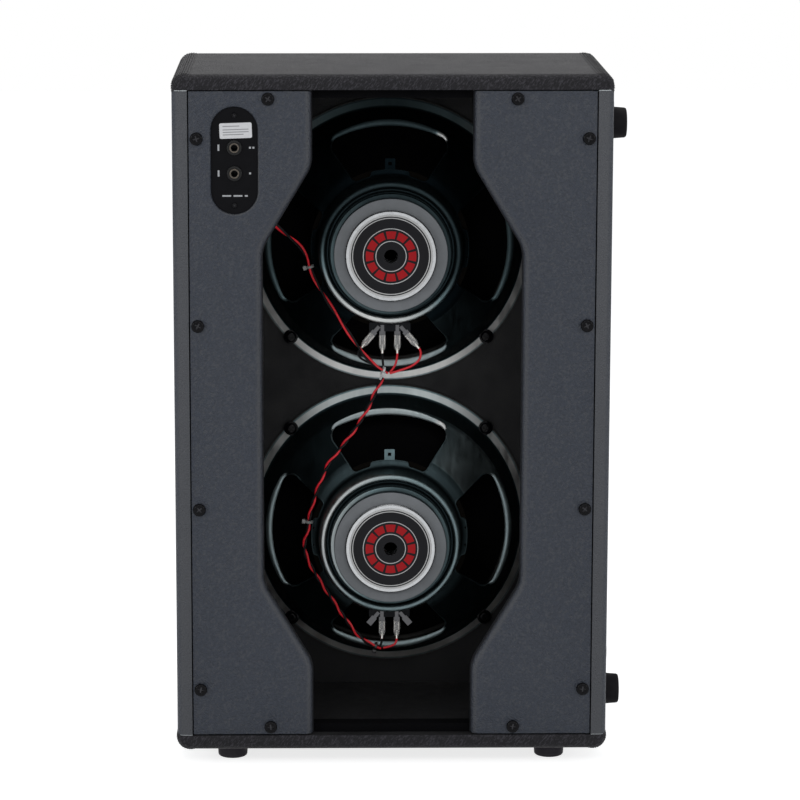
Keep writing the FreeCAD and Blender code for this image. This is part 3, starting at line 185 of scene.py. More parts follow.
def wound(line, turn, pitch, offset):
    """Points that wind round a line, for one wire of a twisted pair."""
    side, travelled, places = Vector((0, 0, 1)), 0.0, []
    for i, here in enumerate(line):
        ahead = (line[min(i + 1, len(line) - 1)] - line[max(i - 1, 0)]).normalized()
        side = (side - ahead * side.dot(ahead)).normalized()
        travelled += (here - line[max(i - 1, 0)]).length
        angle = turn + 2 * math.pi * travelled / pitch
        places.append(here + (side * math.cos(angle) + ahead.cross(side) * math.sin(angle)) * offset)
    return places


print("wire helpers ready")

# %% [markdown]
# Finishes are built before the pieces, so that each piece can take its own as soon as it is made. Real
# surfaces are never one flat colour, so two effects are shared by nearly all of them: an uneven tone, which
# shifts the colour and the gloss a little from place to place, and a fine grain for moulded and embossed
# skins. Each is a node group, built once and placed in every finish with its own values.

# %% Node helpers
def add(tree, kind, inputs=None, **settings):
    """Adds a node. An input given as a socket is linked, and any other value is set on the input."""
    node = tree.nodes.new(kind)
    for key, value in settings.items():
        setattr(node, key, value)
    for key, value in (inputs or {}).items():
        if isinstance(value, bpy.types.NodeSocket):
            tree.links.new(value, node.inputs[key])
        else:
            node.inputs[key].default_value = value
    return node


def maths(tree, operation, a, b=0.5, clamp=False):
    return add(tree, "ShaderNodeMath", {0: a, 1: b}, operation=operation, use_clamp=clamp).outputs[0]


def scaled(tree, vector, factor):
    return add(tree, "ShaderNodeVectorMath", {0: vector, "Scale": factor}, operation="SCALE").outputs[0]


def noise(tree, vector, scale, detail, **more):
    inputs = {"Vector": vector, "Scale": scale, "Detail": detail, **more}
    return add(tree, "ShaderNodeTexNoise", inputs).outputs


def blended(tree, factor, a, b):
    """A colour between a and b."""
    return add(tree, "ShaderNodeMix", {0: factor, 6: a, 7: b}, data_type="RGBA").outputs[2]


def spread_over(tree, value, low, high, start=0.0, end=1.0):
    inputs = {"Value": value, "From Min": start, "From Max": end, "To Min": low, "To Max": high}
    return add(tree, "ShaderNodeMapRange", inputs).outputs[0]


def object_place(tree):
    return add(tree, "ShaderNodeTexCoord").outputs["Object"]


def bumped(tree, surface, height, strength, distance):
    bump = add(tree, "ShaderNodeBump", {"Height": height, "Strength": strength, "Distance": distance})
    tree.links.new(bump.outputs["Normal"], surface.inputs["Normal"])


def group_of(name, inputs, outputs):
    """An empty node group with named sockets, and its two end nodes."""
    group = bpy.data.node_groups.new(name, "ShaderNodeTree")
    for label, kind, value in inputs:
        group.interface.new_socket(label, in_out="INPUT", socket_type=kind).default_value = value
    for label, kind in outputs:
        group.interface.new_socket(label, in_out="OUTPUT", socket_type=kind)
    return group, group.nodes.new("NodeGroupInput").outputs, group.nodes.new("NodeGroupOutput").inputs


print("node helpers ready")

# %% Shared effect: uneven tone
COLOUR, NUMBER = "NodeSocketColor", "NodeSocketFloat"
tone_group, given, wanted = group_of(
    "uneven tone",
    [("Colour", COLOUR, (1, 1, 1, 1)), ("Spread", NUMBER, 0.1), ("Scale", NUMBER, 40)],
    [("Colour", COLOUR), ("Tone", NUMBER)],
)
cloud = noise(tone_group, object_place(tone_group), given["Scale"], 5.0, Roughness=0.62)["Fac"]
tone = spread_over(tone_group, cloud, 0.0, 1.0, 0.3, 0.7)
lift = maths(tone_group, "MULTIPLY_ADD", maths(tone_group, "SUBTRACT", tone, 0.5), given["Spread"])
lift.node.inputs[2].default_value = 1.0
tone_group.links.new(scaled(tone_group, given["Colour"], lift), wanted["Colour"])
tone_group.links.new(tone, wanted["Tone"])
print("effect", tone_group.name)

# %% Shared effect: fine grain
WANDER = 0.0012
grain_group, given, wanted = group_of(
    "fine grain", [("Cells", NUMBER, 500)], [("Height", NUMBER), ("Crease", NUMBER)])
place = object_place(grain_group)
pushed = scaled(grain_group, noise(grain_group, place, given["Cells"], 1.0)["Color"], WANDER)
moved = add(grain_group, "ShaderNodeVectorMath", {0: place, 1: pushed}, operation="ADD").outputs[0]
spots = {"Vector": moved, "Scale": given["Cells"]}
cells = add(grain_group, "ShaderNodeTexVoronoi", spots, feature="SMOOTH_F1").outputs["Distance"]
bumps = maths(grain_group, "MULTIPLY_ADD", noise(grain_group, moved, given["Cells"], 3.0)["Fac"], 0.5)
grain_group.links.new(spread_over(grain_group, cells, 1.0, 0.0, 0.0, 0.8), bumps.node.inputs[2])
grain_group.links.new(bumps, wanted["Height"])
grain_group.links.new(spread_over(grain_group, cells, 0.0, 1.0, 0.3, 0.65), wanted["Crease"])
print("effect", grain_group.name)

# %% [markdown]
# A finish is then a colour, how far its tone wanders, its gloss from dull to bright spots, and, for a skin
# with a grain, the size of the grain's cells and how deep they are. One function makes them all, and the
# finishes that need more, such as a weave or a printed ring, add their own nodes to it.

# %% Make a finish
FINISHES = {}


def colour_of(surface):
    """The socket that a finish's colour comes from so far."""
    return surface.inputs["Base Color"].links[0].from_socket


def recolour(tree, surface, socket):
    tree.links.new(socket, surface.inputs["Base Color"])


def finish(slot, colour, gloss, spread=0.2, scale=60.0, cells=0.0, depth=0.0, flecks=0.0,
           specular=0.5, metal=0.0, alpha=1.0):
    """A procedural finish for one material slot. gloss is (least, most) roughness."""
    material = bpy.data.materials.new(slot)
    material.use_nodes = True
    tree = material.node_tree
    surface = tree.nodes["Principled BSDF"]
    tone = add(tree, "ShaderNodeGroup", node_tree=tone_group)
    for key, value in (("Colour", (*colour, 1)), ("Spread", spread), ("Scale", scale)):
        tone.inputs[key].default_value = value
    shade = tone.outputs["Colour"]
    if cells:
        grain = add(tree, "ShaderNodeGroup", node_tree=grain_group)
        grain.inputs["Cells"].default_value = cells
        bumped(tree, surface, grain.outputs["Height"], depth, 0.5 / cells)
        if flecks:
            shade = blended(tree, grain.outputs["Crease"], shade, scaled(tree, shade, 1 - flecks))
    recolour(tree, surface, shade)
    tree.links.new(spread_over(tree, tone.outputs["Tone"], *gloss), surface.inputs["Roughness"])
    for key, value in (("Specular IOR Level", specular), ("Metallic", metal), ("Alpha", alpha)):
        surface.inputs[key].default_value = value
    FINISHES[slot] = material
    return material, tree, surface


print("finishes share", tone_group.name, "and", grain_group.name)

# %% Plain finishes
finish("black_board", (0.0096, 0.0096, 0.0104), (0.55, 0.8), 0.5, 30, 900, 0.3, specular=0.25)
finish("black_steel", (0.0025, 0.0025, 0.0035), (0.14, 0.22), 0.4, 300, specular=0.09)
finish("black_plastic", (0.006, 0.006, 0.0065), (0.3, 0.45), 0.3, 200, 1500, 0.08, specular=0.2)
finish("plate_plastic", (0.0035, 0.0035, 0.0045), (0.4, 0.5), 0.3, 120, 1800, 0.12, specular=0.06)
finish("foot_rubber", (0.030, 0.027, 0.034), (0.6, 0.8), 0.4, 120, 1200, 0.15, specular=0.25)
finish("plated_steel", (0.42, 0.43, 0.44), (0.2, 0.38), 0.25, 180, metal=1.0)
finish("gasket_board", (0.018, 0.017, 0.016), (0.7, 0.9), 0.4, 200, 900, 0.2)
finish("doped_cloth", (0.012, 0.011, 0.010), (0.5, 0.75), 0.5, 150, 1400, 0.4)
finish("cone_paper", (0.0025, 0.0025, 0.003), (0.8, 0.95), 0.5, 250, 1100, 0.4, specular=0.04)
finish("coil_former", (0.30, 0.12, 0.05), (0.4, 0.6), 0.25, 300)
finish("spider_cloth", (0.005, 0.004, 0.003), (0.7, 0.9), 0.3, 300, 1600, 0.5, specular=0.05)
finish("ferrite", (0.185, 0.195, 0.205), (0.5, 0.68), 0.22, 55, 1600, 0.10, specular=0.35)
finish("terminal_board", (0.006, 0.007, 0.010), (0.5, 0.65), 0.4, 200, 1200, 0.15, specular=0.16)
finish("copper_braid", (0.45, 0.22, 0.11), (0.35, 0.5), 0.3, 900, 2500, 0.5, metal=0.9)
finish("lead_cover", (0.02, 0.02, 0.02), (0.4, 0.55), 0.3, 200)
finish("red_wire", (0.88, 0.016, 0.030), (0.30, 0.45), 0.15, 220, specular=0.5)
finish("black_wire", (0.004, 0.004, 0.005), (0.35, 0.5), 0.3, 220, specular=0.18)
finish("nylon", (0.42, 0.42, 0.41), (0.35, 0.5), 0.2, 400, alpha=0.75)
print(len(FINISHES), "finishes so far")

# %% [markdown]
# The covering is an embossed charcoal vinyl. Along its rounded edges, light and shade are painted into it:
# a paler tone as a painted highlight, and black as painted shade. An attribute of the mesh says where, so
# that the painted highlight follows the edges, and where it is below zero the edge takes the black of
# painted shade. Slanting strokes of fine noise stand for the ridges of the embossing that catch the light.

# %% Vinyl covering
STROKE_SLANT = (0, 0.6, 0)
# The black of the painted shade on the covering's inner edges.
PAINTED_SHADE_BLACK = (0.0025, 0.0025, 0.0030, 1)


def vinyl_with_edge_light(slot, colour, pale, gloss, depth, specular, strokes, stroke_size):
    _, tree, surface = finish(slot, colour, gloss, 0.08, 35, 620, depth, 0.30, specular=specular)
    # The attribute read here is painted light: above zero it blends to the pale tone of a painted highlight,
    # below zero to the black of painted shade.
    edge_light = add(tree, "ShaderNodeAttribute", attribute_name="edge_light").outputs["Fac"]
    slanted = {"Vector": object_place(tree), "Rotation": STROKE_SLANT, "Scale": stroke_size}
    aslant = add(tree, "ShaderNodeMapping", slanted, vector_type="TEXTURE").outputs[0]
    stroke = spread_over(tree, noise(tree, aslant, 1.0, 1.0)["Fac"], 0.0, strokes, 0.5, 0.7)
    skin = blended(tree, stroke, colour_of(surface), (*pale, 1))
    skin = blended(tree, spread_over(tree, edge_light, 0.0, 1.0, 0.0, -1.0), skin, PAINTED_SHADE_BLACK)
    recolour(tree, surface, blended(tree, edge_light, skin, (*pale, 1)))


vinyl_with_edge_light("cabinet_vinyl", (0.0255, 0.0315, 0.0450), (0.060, 0.063, 0.070), (0.46, 0.58), 0.90, 0.35, 0.42,
             (0.0023, 0.0023, 0.0032))
vinyl_with_edge_light("board_vinyl", (0.0045, 0.0042, 0.0062), (0.040, 0.038, 0.045), (0.55, 0.61), 0.8, 0.20, 0.9,
             (0.0011, 0.0011, 0.0038))
print("vinyl finishes")

# %% [markdown]
# The baskets are pressed from zinc plated sheet. Zinc has a faint blue cast, and pressing leaves soft
# streaks in it. Long thin noise, squeezed along one direction, stands for the streaks: it dims the gloss
# in lines and leaves the rest of the sheet as it was. The sheet's light and shade are painted into its
# colour: an attribute of the mesh says how brightly each place is painted, from near black painted shade,
# through a dim teal, to the plain zinc of a painted highlight, and where it is low the gloss is duller.

# %% Zinc plated steel
# The painted light blends near black painted shade into a dim teal up to this share, and from there into the
# plain zinc of a painted highlight.
ZINC_SHADE, ZINC_DIM_TEAL, DIM_TEAL_END = (0.003, 0.006, 0.008, 1), (0.115, 0.165, 0.178, 1), 0.3
STREAK_SCALE = (260, 40, 26)
material, tree, surface = finish("zinc_steel", (0.56, 0.56, 0.55), (0.34, 0.48), 0.25, 45, metal=1.0)
# The attribute read here holds the painted light on the sheet.
painted_light = add(tree, "ShaderNodeAttribute", attribute_name="painted_light").outputs["Fac"]
painted_dim = blended(tree, spread_over(tree, painted_light, 0.0, 1.0, 0.0, DIM_TEAL_END), ZINC_SHADE, ZINC_DIM_TEAL)
toward_highlight = spread_over(tree, painted_light, 0.0, 1.0, DIM_TEAL_END, 1.0)
recolour(tree, surface, blended(tree, toward_highlight, painted_dim, colour_of(surface)))
place = object_place(tree)
stretch = add(tree, "ShaderNodeMapping", {"Vector": place, "Scale": STREAK_SCALE}).outputs[0]
streak = spread_over(tree, noise(tree, stretch, 1.0, 4.0)["Fac"], -0.06, 0.08, 0.3, 0.7)
streaked = maths(tree, "ADD", surface.inputs["Roughness"].links[0].from_socket, streak)
dulled = maths(tree, "ADD", streaked, spread_over(tree, painted_light, 0.14, 0.0, 0.0, 0.5))
tree.links.new(dulled, surface.inputs["Roughness"])
bumped(tree, surface, noise(tree, place, 420.0, 2.0)["Fac"], 0.06, 0.0004)
print("finish", material.name)

# %% [markdown]
# The sleeves on the push-on connectors are clear soft plastic: they let light through, and are slightly
# cloudy. The grille cloth is a plain weave. Two waves at right angles, on the cloth's own UV map, lift the
# threads that run each way over and under each other, and the same pattern darkens the gaps.

# %% Clear sleeve and grille cloth
finish("connector_sleeve", (0.86, 0.85, 0.83), (0.10, 0.2), 0.08, 300, alpha=0.26)

THREADS_PER_METRE = 900.0
CLOTH_GAP = (0.004, 0.004, 0.004, 1)


def flat_places(tree):
    """Across and along on a piece's UV map."""
    return add(tree, "ShaderNodeSeparateXYZ", {0: add(tree, "ShaderNodeUVMap").outputs[0]}).outputs


material, tree, surface = finish("grille_cloth", (0.011, 0.011, 0.012), (0.7, 0.9), 0.5, 45)
flat, turn = flat_places(tree), math.pi * THREADS_PER_METRE
across, along = [maths(tree, "SINE", maths(tree, "MULTIPLY", flat[i], turn)) for i in (0, 1)]
weave = spread_over(tree, maths(tree, "MULTIPLY", across, along), 0.0, 1.0, -1.0, 1.0)
bumped(tree, surface, weave, 0.7, 0.0005)
recolour(tree, surface, blended(tree, weave, CLOTH_GAP, colour_of(surface)))
surface.inputs["Sheen Weight"].default_value = 0.2
print("finish", material.name)

# %% [markdown]
# The round label on each magnet is a printed film: black, with pale rings near its edge, and a plain ring
# of red dashes between pale lines round the vent. The pattern is worked out from the film's own UV map, as
# a distance and an angle about its middle, so it sits the same way on both loudspeakers.

# %% Printed label film
LABEL_RADIUS = 0.044
RED_RING, RED_INK, DASHES = (0.0185, 0.0265), (0.42, 0.012, 0.016, 1), 12
PALE_RINGS = ((0.0155, 0.0163), (0.0287, 0.0295), (0.0398, 0.0407), (0.0420, 0.0450))
RING_INK = (0.60, 0.60, 0.59, 1)


def between(tree, value, low, high, soft=0.00012):
    """1 where a value lies between two others, with a soft edge."""
    rise = spread_over(tree, value, 0.0, 1.0, low - soft, low + soft)
    fall = spread_over(tree, value, 1.0, 0.0, high - soft, high + soft)
    return maths(tree, "MULTIPLY", rise, fall)


material, tree, surface = finish("label_film", (0.008, 0.008, 0.010), (0.3, 0.42), 0.3, 90, specular=0.12)
flat = add(tree, "ShaderNodeUVMap").outputs[0]
centred = add(tree, "ShaderNodeVectorMath", {0: flat, 1: (0.5, 0.5, 0)}, operation="SUBTRACT").outputs[0]
outward = add(tree, "ShaderNodeVectorMath", {0: centred}, operation="LENGTH").outputs["Value"]
radius = maths(tree, "MULTIPLY", outward, 2 * LABEL_RADIUS)
apart = add(tree, "ShaderNodeSeparateXYZ", {0: centred}).outputs
angle = maths(tree, "MULTIPLY", maths(tree, "ARCTAN2", apart[1], apart[0]), DASHES / (2 * math.pi))
dash = between(tree, maths(tree, "FRACT", maths(tree, "ADD", angle, 0.5)), 0.10, 0.90, 0.01)
red_band = maths(tree, "MULTIPLY", between(tree, radius, *RED_RING), dash)
ink = blended(tree, red_band, colour_of(surface), RED_INK)
for ring in PALE_RINGS:
    ink = blended(tree, between(tree, radius, *ring), ink, RING_INK)
recolour(tree, surface, ink)
print("finish", material.name)

# %% [markdown]
# The wires themselves: two per lead, each wound half a turn from the other. The pair is one piece with two
# finishes. The single wires that leave the pairs for the connectors, the tails, are short pieces that go
# with it.

# %% Twisted leads
WIRE_RADIUS = 0.00125
INPUT_PITCH, LINK_PITCH = 0.072, 0.030
INPUT_TURN, LINK_TURN = 0.4, 2.0


def dress(piece, *slots):
    """Gives a piece its finishes, the first of them as the slot that it takes its finish from."""
    piece.data.materials.clear()
    for slot in slots:
        piece.data.materials.append(FINISHES[slot])
    return piece


def twisted_pair(name, line, turn, pitch):
    wires = []
    for colour, start in (("red", turn), ("black", turn + math.pi)):
        wire = wire_along(colour, wound(line, start, pitch, WIRE_RADIUS), WIRE_RADIUS)
        wires.append(dress(wire, f"{colour}_wire"))
    pair = join(name, wires)
    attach(pair, "cabinet")
    return pair


def length_of(line):
    return sum((b - a).length for a, b in zip(line, line[1:]))


input_line, link_line = smooth_line(input_route), smooth_line(link_route)
input_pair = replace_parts(twisted_pair("input_pair", input_line, INPUT_TURN, INPUT_PITCH), "input_lead")
link_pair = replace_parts(twisted_pair("link_pair", link_line, LINK_TURN, LINK_PITCH), "link_lead")
print("leads", length_of(input_line), length_of(link_line))

# %% Tails at the connectors
TIP_BACK, TIP_RUN = 0.0724, 0.004
TIPS = {
    "left": (-0.008, -0.1127, (0, 0, -1)),
    "right": (0.008, -0.1127, (0, 0, -1)),
    "splayed left": (-0.0312, -0.1072, (-0.643, 0, -0.766)),
    "splayed right": (0.0312, -0.1072, (0.643, 0, -0.766)),
}
TAILS = {
    "upper_red_tails": [
        ("right", [(0.0055, 0.074, -0.1275), (-0.0003, 0.0756, -0.1332)]),
        ("splayed right", [(0.032, 0.075, -0.1205), (0.019, 0.0775, -0.1285), (-0.0003, 0.0796, -0.1332)]),
    ],
    "upper_black_tails": [
        ("left", [(-0.007, 0.074, -0.126)]),
        ("splayed left", [(-0.0345, 0.0715, -0.1145), (-0.028, 0.070, -0.1215), (-0.015, 0.074, -0.125)]),
    ],
    "lower_red_tail": [("right", [(0.0035, 0.0748, -0.121), (-0.0068, 0.078, -0.122)])],
    "lower_black_tail": [("left", [(-0.0095, 0.0732, -0.1205)])],
}
tails = {}
for name, wires in TAILS.items():
    speaker, colour = name.split("_")[:2]
    made = []
    for tab, points in wires:
        across, up, way = TIPS[tab]
        start = beside(speaker, across, TIP_BACK, up)
        route = [start, start + Vector(way) * TIP_RUN] + [beside(speaker, *point) for point in points]
        made.append(dress(wire_along(name, smooth_line(route), WIRE_RADIUS), f"{colour}_wire"))
    tails[name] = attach(join(name, made), "cabinet")
    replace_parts(tails[name], f"{colour}_tails")
print("tails", list(tails))

# %% [markdown]
# From here on, pieces are modelled as by hand: a primitive at its size and place, shaped in edit mode, and
# closed again. These small helpers add a primitive with nothing else selected, open a piece, pick its edges
# or faces by where they are, and hand the finished piece to the body that it moves with.

# %% Add a primitive, and open and close a piece
ALONG_DEPTH = (math.pi / 2, 0, 0)
APPLY = {"location": True, "rotation": True, "scale": True}


def cube(place, size, turn=(0, 0, 0)):
    deselect()
    bpy.ops.mesh.primitive_cube_add(size=1, location=place, rotation=turn, scale=size)
    return bpy.context.object


def cylinder(vertices, radius, depth, place=(0, 0, 0), turn=ALONG_DEPTH):
    deselect()
    bpy.ops.mesh.primitive_cylinder_add(
        vertices=vertices, radius=radius, depth=depth, location=place, rotation=turn)
    return bpy.context.object


def to_mode(mode):
    bpy.ops.object.mode_set(mode=mode)


def open_piece(name):
    """Names the active object, sets its place and size into its mesh, and enters edit mode."""
    piece = bpy.context.object
    piece.name = piece.data.name = name
    bpy.ops.object.transform_apply(**APPLY)
    to_mode("EDIT")
    return piece


def close_piece(piece, angle=35):
    activate(piece)
    bpy.ops.object.shade_smooth_by_angle(angle=math.radians(angle))
    return piece


def fit(piece, *nodes, body="cabinet"):
    """The piece moves with a body and stands for CAD nodes."""
    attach(piece, body)
    if nodes:
        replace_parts(piece, *nodes)
    print("made", piece.name, len(piece.data.polygons), "faces")
    return piece


print("piece helpers ready")


# %% Pick parts of a piece, and shape them
def pick(kind, test):
    """Selects the vertices, edges or faces whose middle passes a test, and counts them."""
    bpy.ops.mesh.select_mode(type=kind)
    bpy.ops.mesh.select_all(action="DESELECT")
    mesh = bmesh.from_edit_mesh(bpy.context.object.data)
    count = 0
    for element in {"VERT": mesh.verts, "EDGE": mesh.edges, "FACE": mesh.faces}[kind]:
        corners = [element] if kind == "VERT" else list(element.verts)
        centre = sum((corner.co for corner in corners), Vector()) / len(corners)
        if test(centre, element):
            element.select_set(True)
            count += 1
    mesh.select_flush_mode()
    bmesh.update_edit_mesh(bpy.context.object.data)
    return count


def pick_whole():
    bpy.ops.mesh.select_all(action="SELECT")


def near(a, b, within=2e-5):
    return abs(a - b) < within


def all_at(element, axis, value):
    """True if every corner of an edge or face lies at a value along an axis."""
    return all(near(corner.co[axis], value) for corner in element.verts)


def reach(edge, axis):
    """How far an edge reaches along an axis."""
    return abs(edge.verts[0].co[axis] - edge.verts[1].co[axis])


def bevel(test, offset, segments):
    """Rounds the edges that pass a test, and counts them."""
    count = pick("EDGE", test)
    bpy.ops.mesh.bevel(offset=offset, segments=segments, affect="EDGES")
    return count


def extrude(step):
    bpy.ops.mesh.extrude_region_move(TRANSFORM_OT_translate={"value": step})


def face_outward():
    pick_whole()
    bpy.ops.mesh.normals_make_consistent(inside=False)


def paint(index, test):
    """Gives the faces that pass a test another of the piece's finishes."""
    count = pick("FACE", test)
    bpy.context.object.active_material_index = index
    bpy.ops.object.material_slot_assign()
    return count


print("shaping helpers ready")


# %% Modifiers, cuts and holes
def change(piece, kind, **settings):
    """Adds a modifier, sets it and applies it."""
    activate(piece)
    modifier = piece.modifiers.new(kind.lower(), kind)
    for key, value in settings.items():
        setattr(modifier, key, value)
    bpy.ops.object.modifier_apply(modifier=modifier.name)
    return piece


def cut(piece, tool):
    """Takes a tool's shape out of a piece, and removes the tool."""
    change(piece, "BOOLEAN", operation="DIFFERENCE", object=tool, solver="EXACT")
    bpy.data.objects.remove(tool)
    return piece


def drill(piece, places, radius, depth=0.03, vertices=24):
    """Holes along the depth, at places."""
    for place in places:
        cut(piece, cylinder(vertices, radius, depth, place))
    return piece


print("cutting helpers ready")

# %% [markdown]
# The box is four boards, and the covering is wrapped round each of them, so every outer edge has the same
# soft round. Where a side meets the top or bottom, the covering is cut, and the cut shows as a thin pale
# line. A cube is bevelled widely on the outer edges and finely on the others, and the fine bevels at a
# side board's ends take the colour of the cut. The inner faces are bare board, painted black.

# %% Edges of the covering
OUTER_ROUND, CORNER_ROUND = 0.0075, 0.0135
FINE_EDGE, SHARP = 0.0007, 1.2
finish("vinyl_cut", (0.50, 0.53, 0.54), (0.4, 0.5), 0.3, 300)


def ramp(value, start, end):
    return min(max((value - start) / (end - start), 0.0), 1.0)


def write_edge_light(piece, edge_light_at):
    """Writes the covering's painted light at each vertex, from its place: highlight above zero, shade below.
    """
    layer = piece.data.attributes.new("edge_light", "FLOAT", "POINT")
    for vertex in piece.data.vertices:
        layer.data[vertex.index].value = edge_light_at(vertex.co)


def sharp(centre, edge):
    return edge.calc_face_angle(0) > SHARP


print("rounds", OUTER_ROUND, CORNER_ROUND, FINE_EDGE)

# %% Boards of the box
# The rear edges of the side boards: painted shade on their outer round, then a painted highlight further in.
SIDE_SHADE, SIDE_HIGHLIGHT, SIDE_FADE, SIDE_BACK = -0.4, 1.35, 0.006, 0.02


def board(node, axis, outward):
    """One board. axis and outward say which of its faces lies on the outside of the box."""
    low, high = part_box(node)
    outer, inner = (high[axis], low[axis]) if outward > 0 else (low[axis], high[axis])

    def at_ends(edge, along):
        return all_at(edge, along, low[along]) or all_at(edge, along, high[along])

    cube((low + high) / 2, high - low)
    piece = open_piece(f"{node}_covered")
    if axis == 0:
        bevel(lambda centre, edge: all_at(edge, 0, outer) and not at_ends(edge, 2), OUTER_ROUND, 8)
    else:
        bevel(lambda centre, edge: all_at(edge, 2, outer) and at_ends(edge, 0), CORNER_ROUND, 9)
        bevel(lambda centre, edge: not all_at(edge, 2, inner), OUTER_ROUND, 8)
    bevel(sharp, FINE_EDGE, 2)
    dress(piece, "cabinet_vinyl", "black_board", "vinyl_cut")
    paint(1, lambda centre, face: all_at(face, axis, inner))
    if axis == 0:
        paint(2, lambda centre, face: abs(face.normal.z) > 0.3
              and min(centre.z - low.z, high.z - centre.z) < FINE_EDGE)
        close_piece(piece)
        # Painted light on the side board's rear edge: shade at the outer round, a highlight further in.
        write_edge_light(piece, lambda place: SIDE_SHADE + SIDE_HIGHLIGHT * ramp(abs(outer - place.x), 0, SIDE_FADE)
             if place.y < low.y + SIDE_BACK else 0.0)
    else:
        close_piece(piece).data.materials[0] = FINISHES["board_vinyl"]
    return fit(piece, node)


for node, axis, outward in (
    ("top_board", 2, 1), ("bottom_board", 2, -1), ("left_side_board", 0, -1), ("right_side_board", 0, 1),
):
    board(node, axis, outward)

# %% [markdown]
# Each rear panel is a board whose inner edge steps outwards past the loudspeakers. A plane gets four more
# points on its inner edge, which are moved into the step, and the step's corners are rounded while it is
# still flat. Then it is extruded to its thickness, and the covered inner edge is rounded generously, as
# wrapped vinyl is. Cutting the step with a boolean would leave no clean edge to round. The two end corners
# are trimmed last, by a block with a round bite out of it, so that the soft edge runs off at them.

# %% Outline of a rear panel
PANEL_END, PANEL_STEP = 0.077, 0.085
PANEL_WAIST = 0.051
STEP_REACH = 0.0089
PANEL_ROUND, CORNER_RADIUS = 0.0090, 0.004
OUTER_CLEAR, END_CLEAR = 0.002, 0.0001


def stepped_outline(name, low, high, inner, inner_sign):
    """The flat outline of a panel, in edit mode."""
    centre, span = (low + high) / 2, high.z - low.z
    deselect()
    bpy.ops.mesh.primitive_plane_add(size=1, location=(centre.x, low.y, centre.z), rotation=ALONG_DEPTH)
    bpy.context.object.scale = (high.x - low.x, span, 1)
    piece = open_piece(name)
    pick("EDGE", lambda middle, edge: all_at(edge, 0, inner))
    bpy.ops.mesh.subdivide(number_cuts=4)
    steps = [(0.2, PANEL_END, 0), (0.4, PANEL_END + PANEL_STEP, PANEL_WAIST)]
    steps += [(1 - share, span - up, inward) for share, up, inward in steps]
    for share, up, inward in steps:
        pick("VERT", lambda place, v: near(place.x, inner) and near(place.z, low.z + share * span))
        bpy.ops.transform.translate(value=(-inner_sign * inward, 0, up - share * span))
    pick("VERT", lambda place, v: PANEL_END / 2 < place.z - low.z < span - PANEL_END / 2)
    bpy.ops.mesh.bevel(offset=STEP_REACH, segments=10, affect="VERTICES")
    return piece


print("steps of a panel at", PANEL_END, "and", PANEL_END + PANEL_STEP)


# %% Rear panels
def trim_corners(piece, inner, inner_sign, depth, ends):
    for up, end in zip((1, -1), ends):
        corner = Vector((inner, depth, end))
        heart = corner - Vector((inner_sign, 0, up)) * CORNER_RADIUS
        cube(corner + (corner - heart) * 0.001, [2 * CORNER_RADIUS] * 3)
        tool = open_piece("corner_tool")
        to_mode("OBJECT")
        cut(piece, drill(tool, [heart], CORNER_RADIUS, 0.1, 64))


def rear_panel(side, inner_sign):
    low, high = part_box(f"rear_panel_{side}")
    inner, outer = (high.x, low.x) if inner_sign > 0 else (low.x, high.x)
    piece = stepped_outline(f"rear_panel_{side}_covered", low, high, inner, inner_sign)
    pick_whole()
    extrude((0, high.y - low.y, 0))
    face_outward()
    bevel(lambda middle, edge: all_at(edge, 1, low.y) and abs(middle.x - outer) > OUTER_CLEAR
          and low.z + END_CLEAR < middle.z < high.z - END_CLEAR, PANEL_ROUND, 8)
    bevel(sharp, FINE_EDGE, 2)
    to_mode("OBJECT")
    trim_corners(piece, inner, inner_sign, (low.y + high.y) / 2, (high.z, low.z))
    return close_piece(piece)


panels = {"left": rear_panel("left", 1), "right": rear_panel("right", -1)}
print("panels", [len(panel.data.polygons) for panel in panels.values()])

# %% [markdown]
# The jacks sit in a shallow oblong dish. Its tool is a cylinder lying along the depth, whose upper and
# lower halves are pulled apart into an oblong. After the cut, the dish's rim is rounded, so that the
# covering seems to roll into it. A second, smaller tool makes the way for the jacks' bodies.

# %% Dish for the jacks
DISH_DEPTH, DISH_RIM = 0.005, 0.0022
DISH = middle("jack_plate")
DISH_SIZE, JACK_WAY_SIZE = (0.048, 0.110), (0.030, 0.062)
PANEL_REAR, PANEL_FRONT = [corner.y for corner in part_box("rear_panel_left")]
CUT_PAST = 0.01


def oblong(name, size, y0, y1):
    """An upright oblong with round ends at the dish, from y0 to y1."""
    width, height = size
    cylinder(96, width / 2, y1 - y0, (DISH.x, (y0 + y1) / 2, DISH.z))
    piece = open_piece(name)
    for way in (1, -1):
        pick("VERT", lambda place, v: (place.z - DISH.z) * way > 1e-6)
        bpy.ops.transform.translate(value=(0, 0, way * (height - width) / 2))
    to_mode("OBJECT")
    return piece


def from_dish(place):
    """How far a place lies outside the dish's outline."""
    width, height = DISH_SIZE
    up = max(abs(place.z - DISH.z) - (height - width) / 2, 0)
    return math.hypot(place.x - DISH.x, up) - width / 2


left_panel = panels["left"]
cut(left_panel, oblong("dish_tool", DISH_SIZE, PANEL_REAR - CUT_PAST, PANEL_REAR + DISH_DEPTH))
cut(left_panel, oblong("jack_way_tool", JACK_WAY_SIZE, PANEL_REAR - CUT_PAST, PANEL_FRONT + CUT_PAST))
to_mode("EDIT")
rim = bevel(lambda centre, edge: all_at(edge, 1, PANEL_REAR) and abs(from_dish(centre)) < 5e-4, DISH_RIM, 5)
print("dish rim", rim, "edges")

# %% [markdown]
# The covering's light and shade where it turns are painted: along the panels' inner edges a painted
# highlight comes first and then falls away into painted black shade, and the right and lower parts of the
# dish's rim have a painted highlight. This painted light is written on the mesh as one number for each
# vertex, which a painted texture would also do, but without a picture.

# %% Painted light on the panels
BOX_CENTRE = middle("top_board").x
